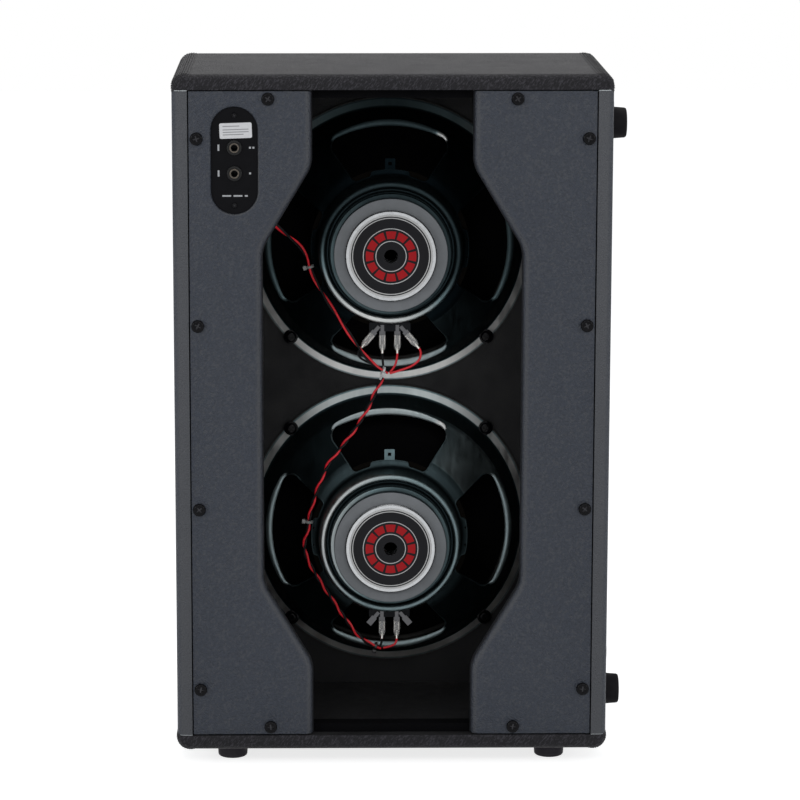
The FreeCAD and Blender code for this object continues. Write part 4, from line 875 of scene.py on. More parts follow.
# Painted highlight and painted shade along the panels' inner edges, near the middle of the box.
EDGE_LIGHT_WITHIN = 0.16
EDGE_HIGHLIGHT_AMOUNT, PALE_BY = 0.65, 0.0007
EDGE_SHADE_AMOUNT, DARK_FROM, DARK_BY = 1.45, 0.0016, 0.0045
RIM_MARGIN, RIM_TOP = 0.0005, 0.0002


def panel_edge_light(place):
    depth = place.y - PANEL_REAR
    # The dish's rim has a painted highlight on its right and lower parts.
    if from_dish(place) < DISH_RIM + RIM_MARGIN:
        rim_lit = max(0.0, place.x - DISH.x + 0.5 * (DISH.z - place.z)) / (DISH_SIZE[0] / 2)
        return min(1.0, rim_lit) * (1.0 if RIM_TOP < depth < DISH_RIM * 0.9 else 0.0)
    if abs(place.x - BOX_CENTRE) > EDGE_LIGHT_WITHIN:
        return 0.0
    return EDGE_HIGHLIGHT_AMOUNT * ramp(depth, 0, PALE_BY) - EDGE_SHADE_AMOUNT * ramp(depth, DARK_FROM, DARK_BY)


for side, panel in panels.items():
    close_piece(panel)
    write_edge_light(panel, panel_edge_light)
    fit(dress(panel, "cabinet_vinyl"), f"rear_panel_{side}")

# %% [markdown]
# The basket is the most skilled piece of the loudspeaker: one sheet of steel pressed into a flange, a steep
# wall, four spokes and a deep cup for the magnet. A press turns a flat blank into that, and here a single
# line, drawn from the flange to the cup and rounded at its bends, is spun about the axis. Solidify gives
# the sheet its thickness. Modelling each spoke would lose the one continuous surface.

# %% Draw a line, and spin it
def line_to(here, after):
    bpy.ops.mesh.extrude_vertices_move(TRANSFORM_OT_translate={"value": after - here})


def drawn_line(name, points):
    """A line of edges through points, drawn by extruding one vertex."""
    deselect()
    bpy.ops.mesh.primitive_plane_add(size=0.001, location=points[0])
    piece = open_piece(name)
    bpy.ops.mesh.select_mode(type="VERT")
    pick_whole()
    bpy.ops.mesh.merge(type="CENTER")
    for here, after in zip(points, points[1:]):
        line_to(here, after)
    return piece


def soften(place, start, segments):
    """Rounds the corner of a drawn line at a place. start is how far along the line the round begins."""
    pick("VERT", lambda centre, v: (centre - place).length < 1e-4)
    bpy.ops.mesh.bevel(offset=start, segments=segments, affect="VERTICES")


def spun(name, profile, steps=128):
    """A drawn line spun about the upper loudspeaker's axis. profile gives radius, distance behind the
    baffle, and for a rounded corner also where the round begins and its segments."""
    corners = [(beside("upper", radius, back, 0), rounding) for radius, back, *rounding in profile]
    piece = drawn_line(name, [point for point, _ in corners])
    for point, rounding in corners:
        if rounding:
            soften(point, *rounding)
    pick_whole()
    bpy.ops.mesh.spin(steps=steps, angle=2 * math.pi, center=(UPPER.x, 0, UPPER.z), axis=(0, 1, 0))
    pick_whole()
    bpy.ops.mesh.remove_doubles(threshold=1e-6)
    bpy.ops.mesh.normals_make_consistent(inside=False)
    to_mode("OBJECT")
    return piece


print("spinning helpers ready")

# %% Basket sheet
SHEET = 0.0014
WALL_TOP, SPOKE_END, CUP_FOOT = (0.1325, 0.029), (0.0905, 0.0672), (0.0768, 0.0722)
BASKET_LINE = [
    (0.155, 0.0022), (0.1527, 0.00278), (0.1520, 0.00296), (0.1460, 0.00449), (0.1453, 0.00467),
    (0.1432, 0.0052, 0.0018, 5), (*WALL_TOP, 0.0035, 5), (*SPOKE_END, 0.005, 6), (*CUP_FOOT, 0.0045, 8),
    (0.0754, 0.105, 0.0034, 8), (0.0690, 0.105, 0.0026, 6), (0.0681, 0.0985, 0.0012, 3),
    (0.0655, 0.0985, 0.0008, 3), (0.0645, 0.105), (0.0285, 0.105),
]
basket = spun("upper_basket_pressed", BASKET_LINE)
flange = max(basket.data.polygons, key=lambda face: (face.center - UPPER).length)
if flange.normal.y > 0:
    to_mode("EDIT")
    pick_whole()
    bpy.ops.mesh.flip_normals()
    to_mode("OBJECT")
change(basket, "SOLIDIFY", thickness=SHEET, offset=-1, use_even_offset=True)
print("basket sheet", len(basket.data.polygons), "faces")

# %% [markdown]
# Four windows are pressed out of the spokes. Their outline is drawn once: arcs by spinning a single vertex
# about the axis, straight sides by extruding it, and rounds by bevelling the corners. Filled and extruded,
# the outline is the tool that cuts the sheet. Laid on the sheet as a thin tube, it is the rolled lip that
# stiffens each window and catches the light.

# %% Corners and arcs of a window
WINDOW_OUTER, WINDOW_INNER, BOSS = 0.128, 0.079, 0.0838
OUTER_HALF, INNER_HALF, BOSS_HALF = 0.068, 0.0375, 0.0200
OUTER_CORNER, INNER_CORNER, BOSS_CORNER = 0.011, 0.0045, 0.0022
HUB = Vector((UPPER.x, BAFFLE_REAR, UPPER.z))


def corner_at(half, radius):
    return Vector((UPPER.x + half, BAFFLE_REAR, UPPER.z + math.sqrt(radius ** 2 - half ** 2)))


def sweep(steps, angle, centre):
    """Spins the selected vertex about a line along the depth."""
    bpy.ops.mesh.spin(steps=steps, angle=angle, center=centre, axis=(0, 1, 0))


def arc_to(half_from, half_to, radius):
    turn = math.asin(half_from / radius) - math.asin(half_to / radius)
    sweep(max(4, int(abs(turn) * 24)), turn, UPPER)


def corner_round():
    """Where the window's outer corner is rounded: the round's middle, the way out to it, the way in from
    the straight side, and the angle that the round turns through."""
    start, end = corner_at(OUTER_HALF, WINDOW_OUTER), corner_at(INNER_HALF, WINDOW_INNER)
    way = (end - start).normalized()
    inward = Vector((way.z, 0, -way.x))
    base = start + inward * OUTER_CORNER - HUB
    half = base.dot(way)
    base += way * (-half - math.sqrt(half ** 2 - base.length_squared + (WINDOW_OUTER - OUTER_CORNER) ** 2))
    return HUB + base, base.normalized(), inward, base.angle(-inward)


def mirrored(place):
    return Vector((2 * UPPER.x - place.x, place.y, place.z))


print("round of the window's corner", corner_round())


# %% Window outline
def window_outline(name):
    heart, outward, inward, turn = corner_round()
    side = heart - inward * OUTER_CORNER
    piece = drawn_line(name, [mirrored(side)])
    sweep(8, -turn, mirrored(heart))
    sweep(28, -2 * math.asin(outward.x), HUB)
    sweep(8, -turn, heart)
    line_to(side, corner_at(INNER_HALF, WINDOW_INNER))
    arc_to(INNER_HALF, BOSS_HALF, WINDOW_INNER)
    line_to(corner_at(BOSS_HALF, WINDOW_INNER), corner_at(BOSS_HALF, BOSS))
    arc_to(BOSS_HALF, -BOSS_HALF, BOSS)
    line_to(corner_at(-BOSS_HALF, BOSS), corner_at(-BOSS_HALF, WINDOW_INNER))
    arc_to(-BOSS_HALF, -INNER_HALF, WINDOW_INNER)
    pick_whole()
    bpy.ops.mesh.remove_doubles(threshold=1e-5)
    pick("VERT", lambda centre, v: len(v.link_edges) == 1)
    bpy.ops.mesh.edge_face_add()
    for half in (INNER_HALF, -INNER_HALF):
        soften(corner_at(half, WINDOW_INNER), INNER_CORNER, 5)
    for half in (BOSS_HALF, -BOSS_HALF):
        soften(corner_at(half, BOSS), BOSS_CORNER, 5)
        soften(corner_at(half, WINDOW_INNER), BOSS_CORNER, 4)
    to_mode("OBJECT")
    return piece


outline = window_outline("window")
print("outline", len(outline.data.vertices), "points")


# %% Cut the windows
def moved_copy(piece, move):
    """A copy with its own mesh, moved by a matrix that is then set into the mesh."""
    activate(piece)
    bpy.ops.object.duplicate()
    copy = bpy.context.object
    copy.matrix_world = move
    bpy.ops.object.transform_apply(**APPLY)
    return copy


def copies_of(piece, moves):
    """Copies of a piece in place of the piece itself."""
    made = [moved_copy(piece, move) for move in moves]
    bpy.data.objects.remove(piece)
    return made


def on_axis(turn):
    return Matrix.Translation(UPPER) @ Matrix.Rotation(turn, 4, "Y") @ Matrix.Translation(-UPPER)


WINDOW_TOOL = 0.12
QUARTERS = [on_axis(math.pi / 2 * step) for step in range(4)]
activate(outline)
bpy.ops.object.duplicate()
tool = open_piece("window_tool")
pick_whole()
bpy.ops.mesh.edge_face_add()
extrude((0, -WINDOW_TOOL, 0))
face_outward()
to_mode("OBJECT")
cut(basket, join("window_tools", copies_of(tool, QUARTERS)))
print("basket with windows", len(basket.data.polygons), "faces")

# %% Rolled lips
LIP_OUTER, LIP_END, LIP_SIDE = 0.0039, 0.0018, 0.0010
LIP_START, LIP_FLAT_FROM, LIP_FLAT, LIP_OUT = 0.124, 0.1245, 0.45, 0.8


def sheet_back(radius):
    """How far behind the baffle the sheet's rear face lies, along the spokes and down to the cup."""
    start, end = (WALL_TOP, SPOKE_END) if radius > SPOKE_END[0] else (SPOKE_END, CUP_FOOT)
    return start[1] + (start[0] - radius) / (start[0] - end[0]) * (end[1] - start[1])


def from_axis(place, axis=UPPER):
    return math.hypot(place.x - axis.x, place.z - axis.z)


for vertex in outline.data.vertices:
    vertex.co.y = BAFFLE_REAR - sheet_back(from_axis(vertex.co)) + SHEET / 2
activate(outline)
bpy.ops.object.convert(target="CURVE")
lip = bpy.context.object
lip.data.bevel_depth, lip.data.bevel_resolution = LIP_OUTER, 3
for point in lip.data.splines[0].points:
    out = Vector((point.co.x - UPPER.x, 0, point.co.z - UPPER.z))
    share = max(0.0, (out.length - LIP_START) / (WINDOW_OUTER - LIP_START))
    arc = LIP_END + (LIP_OUTER - LIP_END) * (1 - min(1, abs(out.x) / OUTER_HALF) ** 2)
    lip_radius = LIP_SIDE + (arc - LIP_SIDE) * share
    point.radius = lip_radius / LIP_OUTER
    point.co.xyz += out.normalized() * (lip_radius - LIP_SIDE) * LIP_OUT
bpy.ops.object.convert(target="MESH")
arc_place = BAFFLE_REAR - sheet_back(WINDOW_OUTER)
for vertex in bpy.context.object.data.vertices:
    if from_axis(vertex.co) > LIP_FLAT_FROM:
        vertex.co.y = arc_place + (vertex.co.y - arc_place) * LIP_FLAT
lips = join("window_lips", copies_of(bpy.context.object, QUARTERS))
print("lips", len(lips.data.polygons), "faces")

# %% [markdown]
# A small tag with a square hole stands on the landing above the magnet, and two pairs of holes for ties sit
# at its sides. The tag is a block with rounded corners and a cube cut out of it, and the holes are drilled.
# Sheet, lips and tag are then joined, because they are one pressing.

# %% Tag and tie holes
TAG_WIDTH, TAG_START, TAG_END, TAG_HOLE = 0.011, 0.0835, 0.0960, 0.0036
LANDING_BACK = 0.0690
TIE_HOLE_OUT, TIE_HOLE_UP, TIE_HOLE_BACK, TIE_HOLE_RADIUS = 0.0825, 0.0095, 0.07, 0.0016
cube(beside("upper", 0, LANDING_BACK, (TAG_END + TAG_START) / 2), (TAG_WIDTH, SHEET, TAG_END - TAG_START))
tag = open_piece("tag")
bevel(lambda centre, edge: reach(edge, 1) > SHEET / 2, 0.0008, 3)
cut(tag, cube(beside("upper", 0, LANDING_BACK, TAG_END - TAG_WIDTH / 2), [TAG_HOLE] * 3))
drill(basket, [beside("upper", side * TIE_HOLE_OUT, TIE_HOLE_BACK, up)
               for side in (-1, 1) for up in (-TIE_HOLE_UP, TIE_HOLE_UP)], TIE_HOLE_RADIUS)
LIPS_FROM = len(basket.data.vertices)
TAG_FROM = LIPS_FROM + len(lips.data.vertices)
basket = close_piece(dress(join("upper_basket_pressed", [basket, lips, tag]), "zinc_steel"), 40)
print("pressing", len(basket.data.vertices), "points")


# %% The same piece at the lower loudspeaker
def fit_both(piece, node):
    """Fits a piece at the upper loudspeaker, and a copy with its own mesh at the lower one."""
    lower = moved_copy(piece, Matrix.Translation(SPEAKER_STEP))
    lower.name = lower.data.name = piece.name.replace("upper", "lower")
    fit(piece, f"upper_{node}")
    fit(lower, f"lower_{node}")
    return {"upper": piece, "lower": lower}


baskets = fit_both(basket, "basket")

# %% [markdown]
# The two baskets mirror different parts of the room, and their light and shade are painted: the upper one
# is painted darker, and each region of a basket has a painted highlight that is brightest towards one
# direction. A table gives that direction for each region. The painted light of every vertex is worked out
# from that, which lamps alone could not do for both loudspeakers at once.

# %% Painted light on the baskets, as a table
# Each entry gives a direction, across and up, then the painted light away from it and towards it; a single
# number is the painted light of a whole region.
PAINTED_LIGHT_TABLE = {
    "upper": {
        "landing": 0.004, "tag": 0.002, "side": 0.010, "spokes": ((0.3, -1), 0.010, 0.09),
        "rim": ((-0.3, -1), 0.05, 0.85), "shoulder": ((-0.6, -1), 0.05, 0.40), "flange": ((0, 1), 1.0, 0.10),
        "lips": ((0, -1), 0.09, 0.50), "plate": ((-1, -0.4), 0.05, 0.16)},
    "lower": {
        "landing": 0.085, "tag": 0.30, "side": 0.10, "spokes": ((1, 0.8), 0.045, 0.42),
        "rim": ((-1, 0.4), 0.34, 0.75), "shoulder": ((-1, 1), 0.05, 0.90), "flange": ((0, 1), 1.0, 0.56),
        "lips": ((0, 1), 0.40, 0.50), "plate": ((-1, 0.1), 0.14, 0.55)},
}
# A painted glint near the right end of the upper window's lip, on both loudspeakers.
GLINT, GLINT_SHINE, GLINT_EDGE, GLINT_FADE = Vector((0.445, 0.895)), 0.9, (0.9965, 0.9992), (0.118, 0.124)
# Radii of the regions. The flange's outer border takes only a share of the flange's painted light, as painted
# shade, and the wall and the cup take painted shade.
FLANGE_EDGE, FLANGE_FROM, WALL_FROM, SPOKES_FROM, LANDING_FROM = 0.1523, 0.1456, 0.1335, 0.0925, 0.0785
EDGE_SHARE, WALL_SHADE, CUP_SHADE = 0.4, 0.04, 0.035
LIP_FADE, SIDE_BACKS, SIDE_RADII = (0.104, 0.125), (0.080, 0.098), (0.0735, 0.0745)
RIM_BACKS, RIM_RADII = (0.0990, 0.1030), (0.0676, 0.0690)
print("regions", list(PAINTED_LIGHT_TABLE["upper"]))


# %% Write the painted light on the baskets
def shade_by(piece, axis, painted_light_at):
    """Writes the painted light of a piece's vertices, from their number, their distance to the axis, their
    place behind the baffle, and their direction from the axis."""
    layer = piece.data.attributes.new("painted_light", "FLOAT", "POINT")
    for vertex in piece.data.vertices:
        out = Vector((vertex.co.x - axis.x, vertex.co.z - axis.z))
        way = out / max(out.length, 1e-9)
        layer.data[vertex.index].value = painted_light_at(vertex.index, out.length, BAFFLE_REAR - vertex.co.y, way)


# Painted light that is brightest towards a region's direction.
def lit(film, region, out, power):
    way, least, most = film[region]
    return least + (most - least) * max(0.0, out.dot(Vector(way).normalized())) ** power


def basket_painted_light(film, index, radius, back, out):
    """The painted light of one point. The sheet's points come first, then those of the lips, then the tag's.
    """
    if index >= TAG_FROM:
        return film["tag"]
    if index >= LIPS_FROM:
        bent = film["side"] + (lit(film, "lips", out, 2) - film["side"]) * ramp(radius, *LIP_FADE)
        return max(bent, GLINT_SHINE * ramp(out.dot(GLINT), *GLINT_EDGE) * ramp(radius, *GLINT_FADE))
    if radius > FLANGE_FROM:
        return lit(film, "flange", out, 2) * (EDGE_SHARE if radius > FLANGE_EDGE else 1.0)
    if radius > SPOKES_FROM:
        return lit(film, "spokes", out, 4) if radius < WALL_FROM else WALL_SHADE
    if radius > LANDING_FROM:
        return film["landing"]
    side = lit(film, "shoulder", out, 4) * ramp(back, *SIDE_BACKS) * ramp(radius, *SIDE_RADII)
    rim = lit(film, "rim", out, 1.5) * ramp(radius, *RIM_RADII) * ramp(back, *RIM_BACKS)
    return max(CUP_SHADE, side, rim)


# Painted light on both baskets.
for speaker, piece in baskets.items():
    shade_by(piece, AXES[speaker], lambda *where: basket_painted_light(PAINTED_LIGHT_TABLE[speaker], *where))
print("film on", list(baskets))

# %% [markdown]
# Screws hold nearly everything at the back. One pan head screw is modelled: a cylinder whose outer edge is
# bevelled into a dome, a shank extruded from an inset of its underside, and a cross recess cut by two
# crossed bars. The others are copies of it, each turned a little differently, as hand driven screws are.

# %% Pan head screw
finish("bare_steel", (0.035, 0.035, 0.038), (0.2, 0.32), 0.6, 500, metal=1.0)
DOME, RECESS_LONG, RECESS_WIDE, RECESS_AT = 0.68, 1.05, 0.24, 0.92


def pan_head(name, radius, height, shank_radius, shank_length):
    """A screw at the origin. Its head stands out towards the rear, and its shank points to the front."""
    cylinder(40, radius, height, (0, -height / 2, 0))
    piece = open_piece(name)
    bevel(lambda centre, edge: all_at(edge, 1, -height), height * DOME, 7)
    pick("FACE", lambda centre, face: all_at(face, 1, 0))
    bpy.ops.mesh.inset(thickness=radius - shank_radius)
    extrude((0, shank_length, 0))
    for x, z in ((RECESS_LONG, RECESS_WIDE), (RECESS_WIDE, RECESS_LONG)):
        cut(piece, cube((0, -height * RECESS_AT, 0), (radius * x, height, radius * z)))
    dress(piece, "black_steel", "bare_steel")
    to_mode("EDIT")
    paint(1, lambda centre, face: centre.y < -height * 0.4 and math.hypot(centre.x, centre.z) < radius * 0.6
          and not near(centre.y, -height, 1e-5))
    return close_piece(piece, 40)


def set_at(piece, name, places, turns):
    """One piece made of copies, each moved to a place and turned about the depth."""
    moves = [Matrix.Translation(place) @ Matrix.Rotation(turn, 4, "Y") for place, turn in zip(places, turns)]
    return join(name, copies_of(piece, moves))


TURNS = [0.2, 0.9, 0.5, 1.3, 0.05, 0.7, 1.1, 0.35, 1.45, 0.6, 0.15, 1.0]
print("screws ready")

# %% Screws of the rear panels and of the jack plate
# Each kind of screw gives its head's radius and height, and its shank's radius and length.
PANEL_SCREW, PLATE_SCREW = (0.0066, 0.0034, 0.002, 0.024), (0.003, 0.0016, 0.0012, 0.007)
SCREW_OUT, SCREW_STEP = 0.200, 0.0965
END_SCREW_OUT, END_SCREW_IN, PLATE_SCREW_IN = 0.127, 0.0064, 0.003
low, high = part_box("rear_panel_screws")
BOX_MIDDLE = middle("rear_panel_screws")
rows = [(SCREW_OUT, [BOX_MIDDLE.z + step * SCREW_STEP for step in (-3, -1, 1, 3)]),
        (END_SCREW_OUT, [low.z + END_SCREW_IN, high.z - END_SCREW_IN])]
places = [Vector((BOX_MIDDLE.x + side * out, PANEL_REAR, up))
          for out, ups in rows for side in (-1, 1) for up in ups]
screws = set_at(pan_head("panel_screw", *PANEL_SCREW), "panel_screws_cross", places, TURNS)
fit(screws, "rear_panel_screws")

low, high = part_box("jack_plate_screws")
PLATE_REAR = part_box("jack_plate")[0].y
places = [Vector((middle("jack_plate_screws").x, PLATE_REAR, up))
          for up in (low.z + PLATE_SCREW_IN, high.z - PLATE_SCREW_IN)]
screws = set_at(pan_head("plate_screw", *PLATE_SCREW), "plate_screws_cross", places, (0.5, 1.2))
fit(screws, "jack_plate_screws")

# %% [markdown]
# Each jack is held by a round plastic nut. It is a cylinder with a domed outer edge and a bore, and three
# shallow notches for a key. In its bore shows the jack's mouth, a ring of dull brass, which is a torus.

# %% Jack nuts
NUT_DOME, NUT_BORE = 0.0013, 0.0056
NOTCH_RING, NOTCH, NOTCH_TURNS = 0.0078, (0.0022, 0.0022, 0.0016), (0.4, 2.5, 4.6)
low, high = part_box("jack_nuts")
JACK_X = middle("jack_nuts").x
NUT_RADIUS, NUT_HEIGHT = (high.x - low.x) / 2, high.y - low.y
cylinder(72, NUT_RADIUS, NUT_HEIGHT, (0, -NUT_HEIGHT / 2, 0))
nut = open_piece("jack_nut")
bevel(lambda centre, edge: all_at(edge, 1, -NUT_HEIGHT), NUT_DOME, 5)
drill(nut, [Vector((0, 0, 0))], NUT_BORE, vertices=48)
for turn in NOTCH_TURNS:
    spot = (NOTCH_RING * math.cos(turn), -NUT_HEIGHT, NOTCH_RING * math.sin(turn))
    cut(nut, cube(spot, NOTCH, (0, -turn, 0)))
close_piece(nut, 40)
jack_places = [Vector((JACK_X, PLATE_REAR, up)) for up in (low.z + NUT_RADIUS, high.z - NUT_RADIUS)]
fit(dress(set_at(nut, "jack_nuts_domed", jack_places, (0.0, 1.9)), "black_plastic"), "jack_nuts")

# %% Mouths of the jacks
MOUTH_RADIUS, MOUTH_ROUND, MOUTH_IN = 0.0043, 0.0009, 0.0004
finish("jack_brass", (0.085, 0.074, 0.062), (0.24, 0.4), 0.5, 500, metal=1.0)
rings = []
for node in ("jack_lower", "jack_upper"):
    deselect()
    bpy.ops.mesh.primitive_torus_add(
        location=(JACK_X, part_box(node)[0].y + MOUTH_IN, middle(node).z), rotation=ALONG_DEPTH,
        major_radius=MOUTH_RADIUS, minor_radius=MOUTH_ROUND, major_segments=48, minor_segments=12)
    rings.append(close_piece(open_piece("mouth")))
fit(dress(join("jack_mouths", rings), "jack_brass"))

# %% [markdown]
# Four rubber feet at the right side let the cabinet lie down. Each is a moulded cone with a rounded rim and
# a well for its screw: a cone whose end face is inset and pushed in, so that no cut is needed.

# %% Rubber feet at the side
finish("side_rubber", (0.005, 0.0045, 0.006), (0.65, 0.85), 0.4, 120, 1200, 0.15, specular=0.12)
FOOT_ROOT, FOOT_TIP, FOOT_TALL, FOOT_RIM = 0.0165, 0.0153, 0.0160, 0.0024
WELL, WELL_DEPTH, WELL_CLEAR = 0.0070, 0.0068, 0.004
low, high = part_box("side_feet")
FOOT_END = low.x + FOOT_TALL
feet = []
for y in (low.y + FOOT_ROOT, high.y - FOOT_ROOT):
    for z in (low.z + FOOT_ROOT, high.z - FOOT_ROOT):
        deselect()
        bpy.ops.mesh.primitive_cone_add(
            vertices=64, radius1=FOOT_ROOT, radius2=FOOT_TIP, depth=FOOT_TALL,
            location=(low.x + FOOT_TALL / 2, y, z), rotation=(0, math.pi / 2, 0))
        foot = open_piece("foot")
        pick("FACE", lambda centre, face: all_at(face, 0, FOOT_END))
        bpy.ops.mesh.inset(thickness=FOOT_TIP - WELL)
        extrude((-WELL_DEPTH, 0, 0))
        bevel(lambda centre, edge: all_at(edge, 0, FOOT_END)
              and math.hypot(centre.y - y, centre.z - z) > WELL + WELL_CLEAR, FOOT_RIM, 5)
        feet.append(close_piece(foot))
fit(dress(join("side_feet_moulded", feet), "side_rubber"), "side_feet")

# %% [markdown]
# The jack plate is printed in pale ink. Plain marks stand for its words: a stripe at the left of each jack,
# pips at its right, and three bars below. They are worked out from the place on the plate, so the CAD
# model's own plate can carry them as a finish.

# %% Marks on the jack plate
PALE_INK = (0.42, 0.43, 0.44, 1)
STRIPE = (-0.0170, -0.0152, -0.0032, 0.0032)
PIP_START, PIP_STEP, PIP_SIZE = 0.0150, 0.0035, 0.0020
BARS, BARS_DOWN, BAR_HEIGHT = ((-0.0125, -0.0035), (-0.0010, 0.0080), (0.0105, 0.0135)), 0.0370, 0.0016
printed, tree, surface = finish(
    "plate_print", (0.0035, 0.0035, 0.0045), (0.4, 0.5), 0.3, 120, 1800, 0.12, specular=0.06)
apart = add(tree, "ShaderNodeSeparateXYZ", {0: object_place(tree)}).outputs
across = maths(tree, "SUBTRACT", apart["X"], JACK_X)
marks = []
for number, place in enumerate(jack_places):
    starts = [PIP_START + PIP_STEP * pip for pip in range(number + 1)]
    marks.append((place.z, *STRIPE))
    marks += [(place.z, start, start + PIP_SIZE, -PIP_SIZE / 2, PIP_SIZE / 2) for start in starts]
marks += [(DISH.z - BARS_DOWN, start, end, 0.0, BAR_HEIGHT) for start, end in BARS]
ink = colour_of(surface)
for height, start, end, low, high in marks:
    up = maths(tree, "SUBTRACT", apart["Z"], height)
    mark = maths(tree, "MULTIPLY", between(tree, across, start, end), between(tree, up, low, high))
    ink = blended(tree, mark, ink, PALE_INK)
recolour(tree, surface, ink)
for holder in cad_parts["jack_plate"].material_slots:
    holder.material = printed
print("marks for", len(jack_places), "jacks")

# %% [markdown]
# A pale sticker, blank but for some ruled lines, stands above the jacks, put on a little crooked. It is a
# thin plate with rounded corners, and its lines are drawn on its own UV map, so that they turn with it.

# %% Sticker
STICKER_WIDTH, STICKER_HEIGHT, STICKER_THICK, STICKER_CORNER = 0.033, 0.0158, 0.0002, 0.0016
STICKER_RIGHT, STICKER_UP, STICKER_TURN = 0.0015, 0.0306, -0.035
# Each line gives its lower and upper edge and its two ends, as shares of the sticker.
LINES = ((0.76, 0.82, 0.10, 0.62), (0.54, 0.60, 0.10, 0.90),
         (0.38, 0.44, 0.10, 0.90), (0.22, 0.28, 0.10, 0.74))
LINE_INK, LINE_STRENGTH = (0.12, 0.12, 0.13, 1), 0.75
paper, tree, surface = finish("sticker_paper", (0.66, 0.66, 0.67), (0.45, 0.6), 0.06, 300)
flat, ink = flat_places(tree), colour_of(surface)
for low, high, start, end in LINES:
    upright, level = between(tree, flat[1], low, high, 0.01), between(tree, flat[0], start, end, 0.005)
    line = maths(tree, "MULTIPLY", upright, level)
    ink = blended(tree, maths(tree, "MULTIPLY", line, LINE_STRENGTH), ink, LINE_INK)
recolour(tree, surface, ink)


def lay_flat(piece, uv_at):
    """Writes a UV map, from the place of each corner and its face."""
    layer = piece.data.uv_layers.active or piece.data.uv_layers.new()
    for face in piece.data.polygons:
        for index in face.loop_indices:
            point = piece.data.vertices[piece.data.loops[index].vertex_index].co
            layer.data[index].uv = uv_at(point, face)


cube((0, 0, 0), (STICKER_WIDTH, STICKER_THICK, STICKER_HEIGHT))
sticker = open_piece("plate_sticker")
bevel(lambda centre, edge: reach(edge, 0) < 2e-5 and reach(edge, 2) < 2e-5, STICKER_CORNER, 6)
to_mode("OBJECT")
lay_flat(sticker, lambda point, face: (0.5 + point.x / STICKER_WIDTH, 0.5 + point.z / STICKER_HEIGHT))
sticker.location = (DISH.x + STICKER_RIGHT, PLATE_REAR - STICKER_THICK / 2, DISH.z + STICKER_UP)
sticker.rotation_euler = (0, STICKER_TURN, 0)
activate(sticker)
bpy.ops.object.transform_apply(**APPLY)
sticker.data.materials.clear()
sticker.data.materials.append(paper)
fit(close_piece(sticker))

# %% [markdown]
# The label is a thin ring of film on the back plate. It is spun like the basket, and its UV map is laid
# flat over it, so that the printed rings stay round and sit in the same place on both loudspeakers.

# %% Labels
VENT_RADIUS = 0.00725
LABEL_FRONT, LABEL_REAR = 0.1279, 0.1283
LABEL_LINE = [(VENT_RADIUS, LABEL_FRONT), (VENT_RADIUS, LABEL_REAR),
              (LABEL_RADIUS, LABEL_REAR), (LABEL_RADIUS, LABEL_FRONT)]
label = spun("upper_label_printed", LABEL_LINE, 96)
lay_flat(label, lambda point, face: [0.5 + (point - UPPER)[axis] / (2 * LABEL_RADIUS) for axis in (0, 2)])
fit_both(close_piece(dress(label, "label_film")), "label")

# %% [markdown]
# The front plate of the magnet stands on the cup. Only its edge and a narrow ring of its rear face show,
# so it is a spun line too, and its rounded edge is the bright ring round the magnet. Its light is painted
# from the table, brighter towards one side at each loudspeaker.

# %% Front plates
PLATE_LINE = [(0.0640, 0.1050), (0.0640, 0.1130, 0.0013, 6), (0.0300, 0.1130)]
plate = spun("upper_front_plate_turned", PLATE_LINE)
dress(close_piece(plate), "zinc_steel")
for speaker, piece in fit_both(plate, "front_plate").items():
    # Painted light on each plate, from its loudspeaker's table entry.
    shade_by(piece, AXES[speaker], lambda index, radius, back, out: lit(PAINTED_LIGHT_TABLE[speaker], "plate", out, 1))

# %% [markdown]
# The magnet is a ring of fired ferrite, ground flat on its faces. It is spun as the plate is. The faces
# that look to the rear take the ground grey, and those round its edge are painted dark as shade.

# %% Magnets
finish("ferrite_painted_shade", (0.010, 0.016, 0.020), (0.5, 0.65), 0.3, 120, 1400, 0.12, specular=0.25)
MAGNET_LINE = [(0.0310, 0.1131), (0.0600, 0.1131), (0.0600, 0.1220, 0.0011, 4), (0.0310, 0.1220)]
magnet = spun("upper_magnet_ground", MAGNET_LINE)
dress(magnet, "ferrite", "ferrite_painted_shade")
to_mode("EDIT")
# The faces round the edge take the painted shade.
print("dark faces", paint(1, lambda centre, face: abs(face.normal.y) < 0.8))
fit_both(close_piece(magnet), "magnet")

# %% [markdown]
# Four black bolts hold each loudspeaker, at the corners between the spokes. They are pan head screws of the
# kind made for the panels, only larger, with a washer under the head.

# %% Loudspeaker bolts
BOLT, BOLT_RING, BOLT_SEAT = (0.0062, 0.0046, 0.0024, 0.020), 0.1502, 0.0039
WASHER_RADIUS, WASHER_THICK, WASHER_EDGE = 0.0078, 0.0014, 0.0004
corner = BOLT_RING * math.sqrt(0.5)
corners = [(x, z) for x in (-corner, corner) for z in (-corner, corner)]
places = [beside(speaker, x, BOLT_SEAT, z) for speaker in AXES for x, z in corners]
bolt = pan_head("bolt", *BOLT)
cylinder(40, WASHER_RADIUS, WASHER_THICK, (0, -WASHER_THICK / 2, 0))
washer = open_piece("washer")
bevel(lambda centre, edge: all_at(edge, 1, -WASHER_THICK), WASHER_EDGE, 2)
bolts = set_at(join("bolt", [bolt, close_piece(washer)]), "speaker_bolts_cross", places, TURNS)
fit(dress(bolts, "black_steel"), "speaker_bolts")

# %% [markdown]
# A push-on connector is a folded strip of tinned metal: a flat body with two rolled sides that grip the
# tab, then a crimped barrel round the wire. A clear sleeve covers it. The body is a thin box with two
# tubes along its sides, and the sleeve is a rounded box that is opened at both ends and given a thin wall.

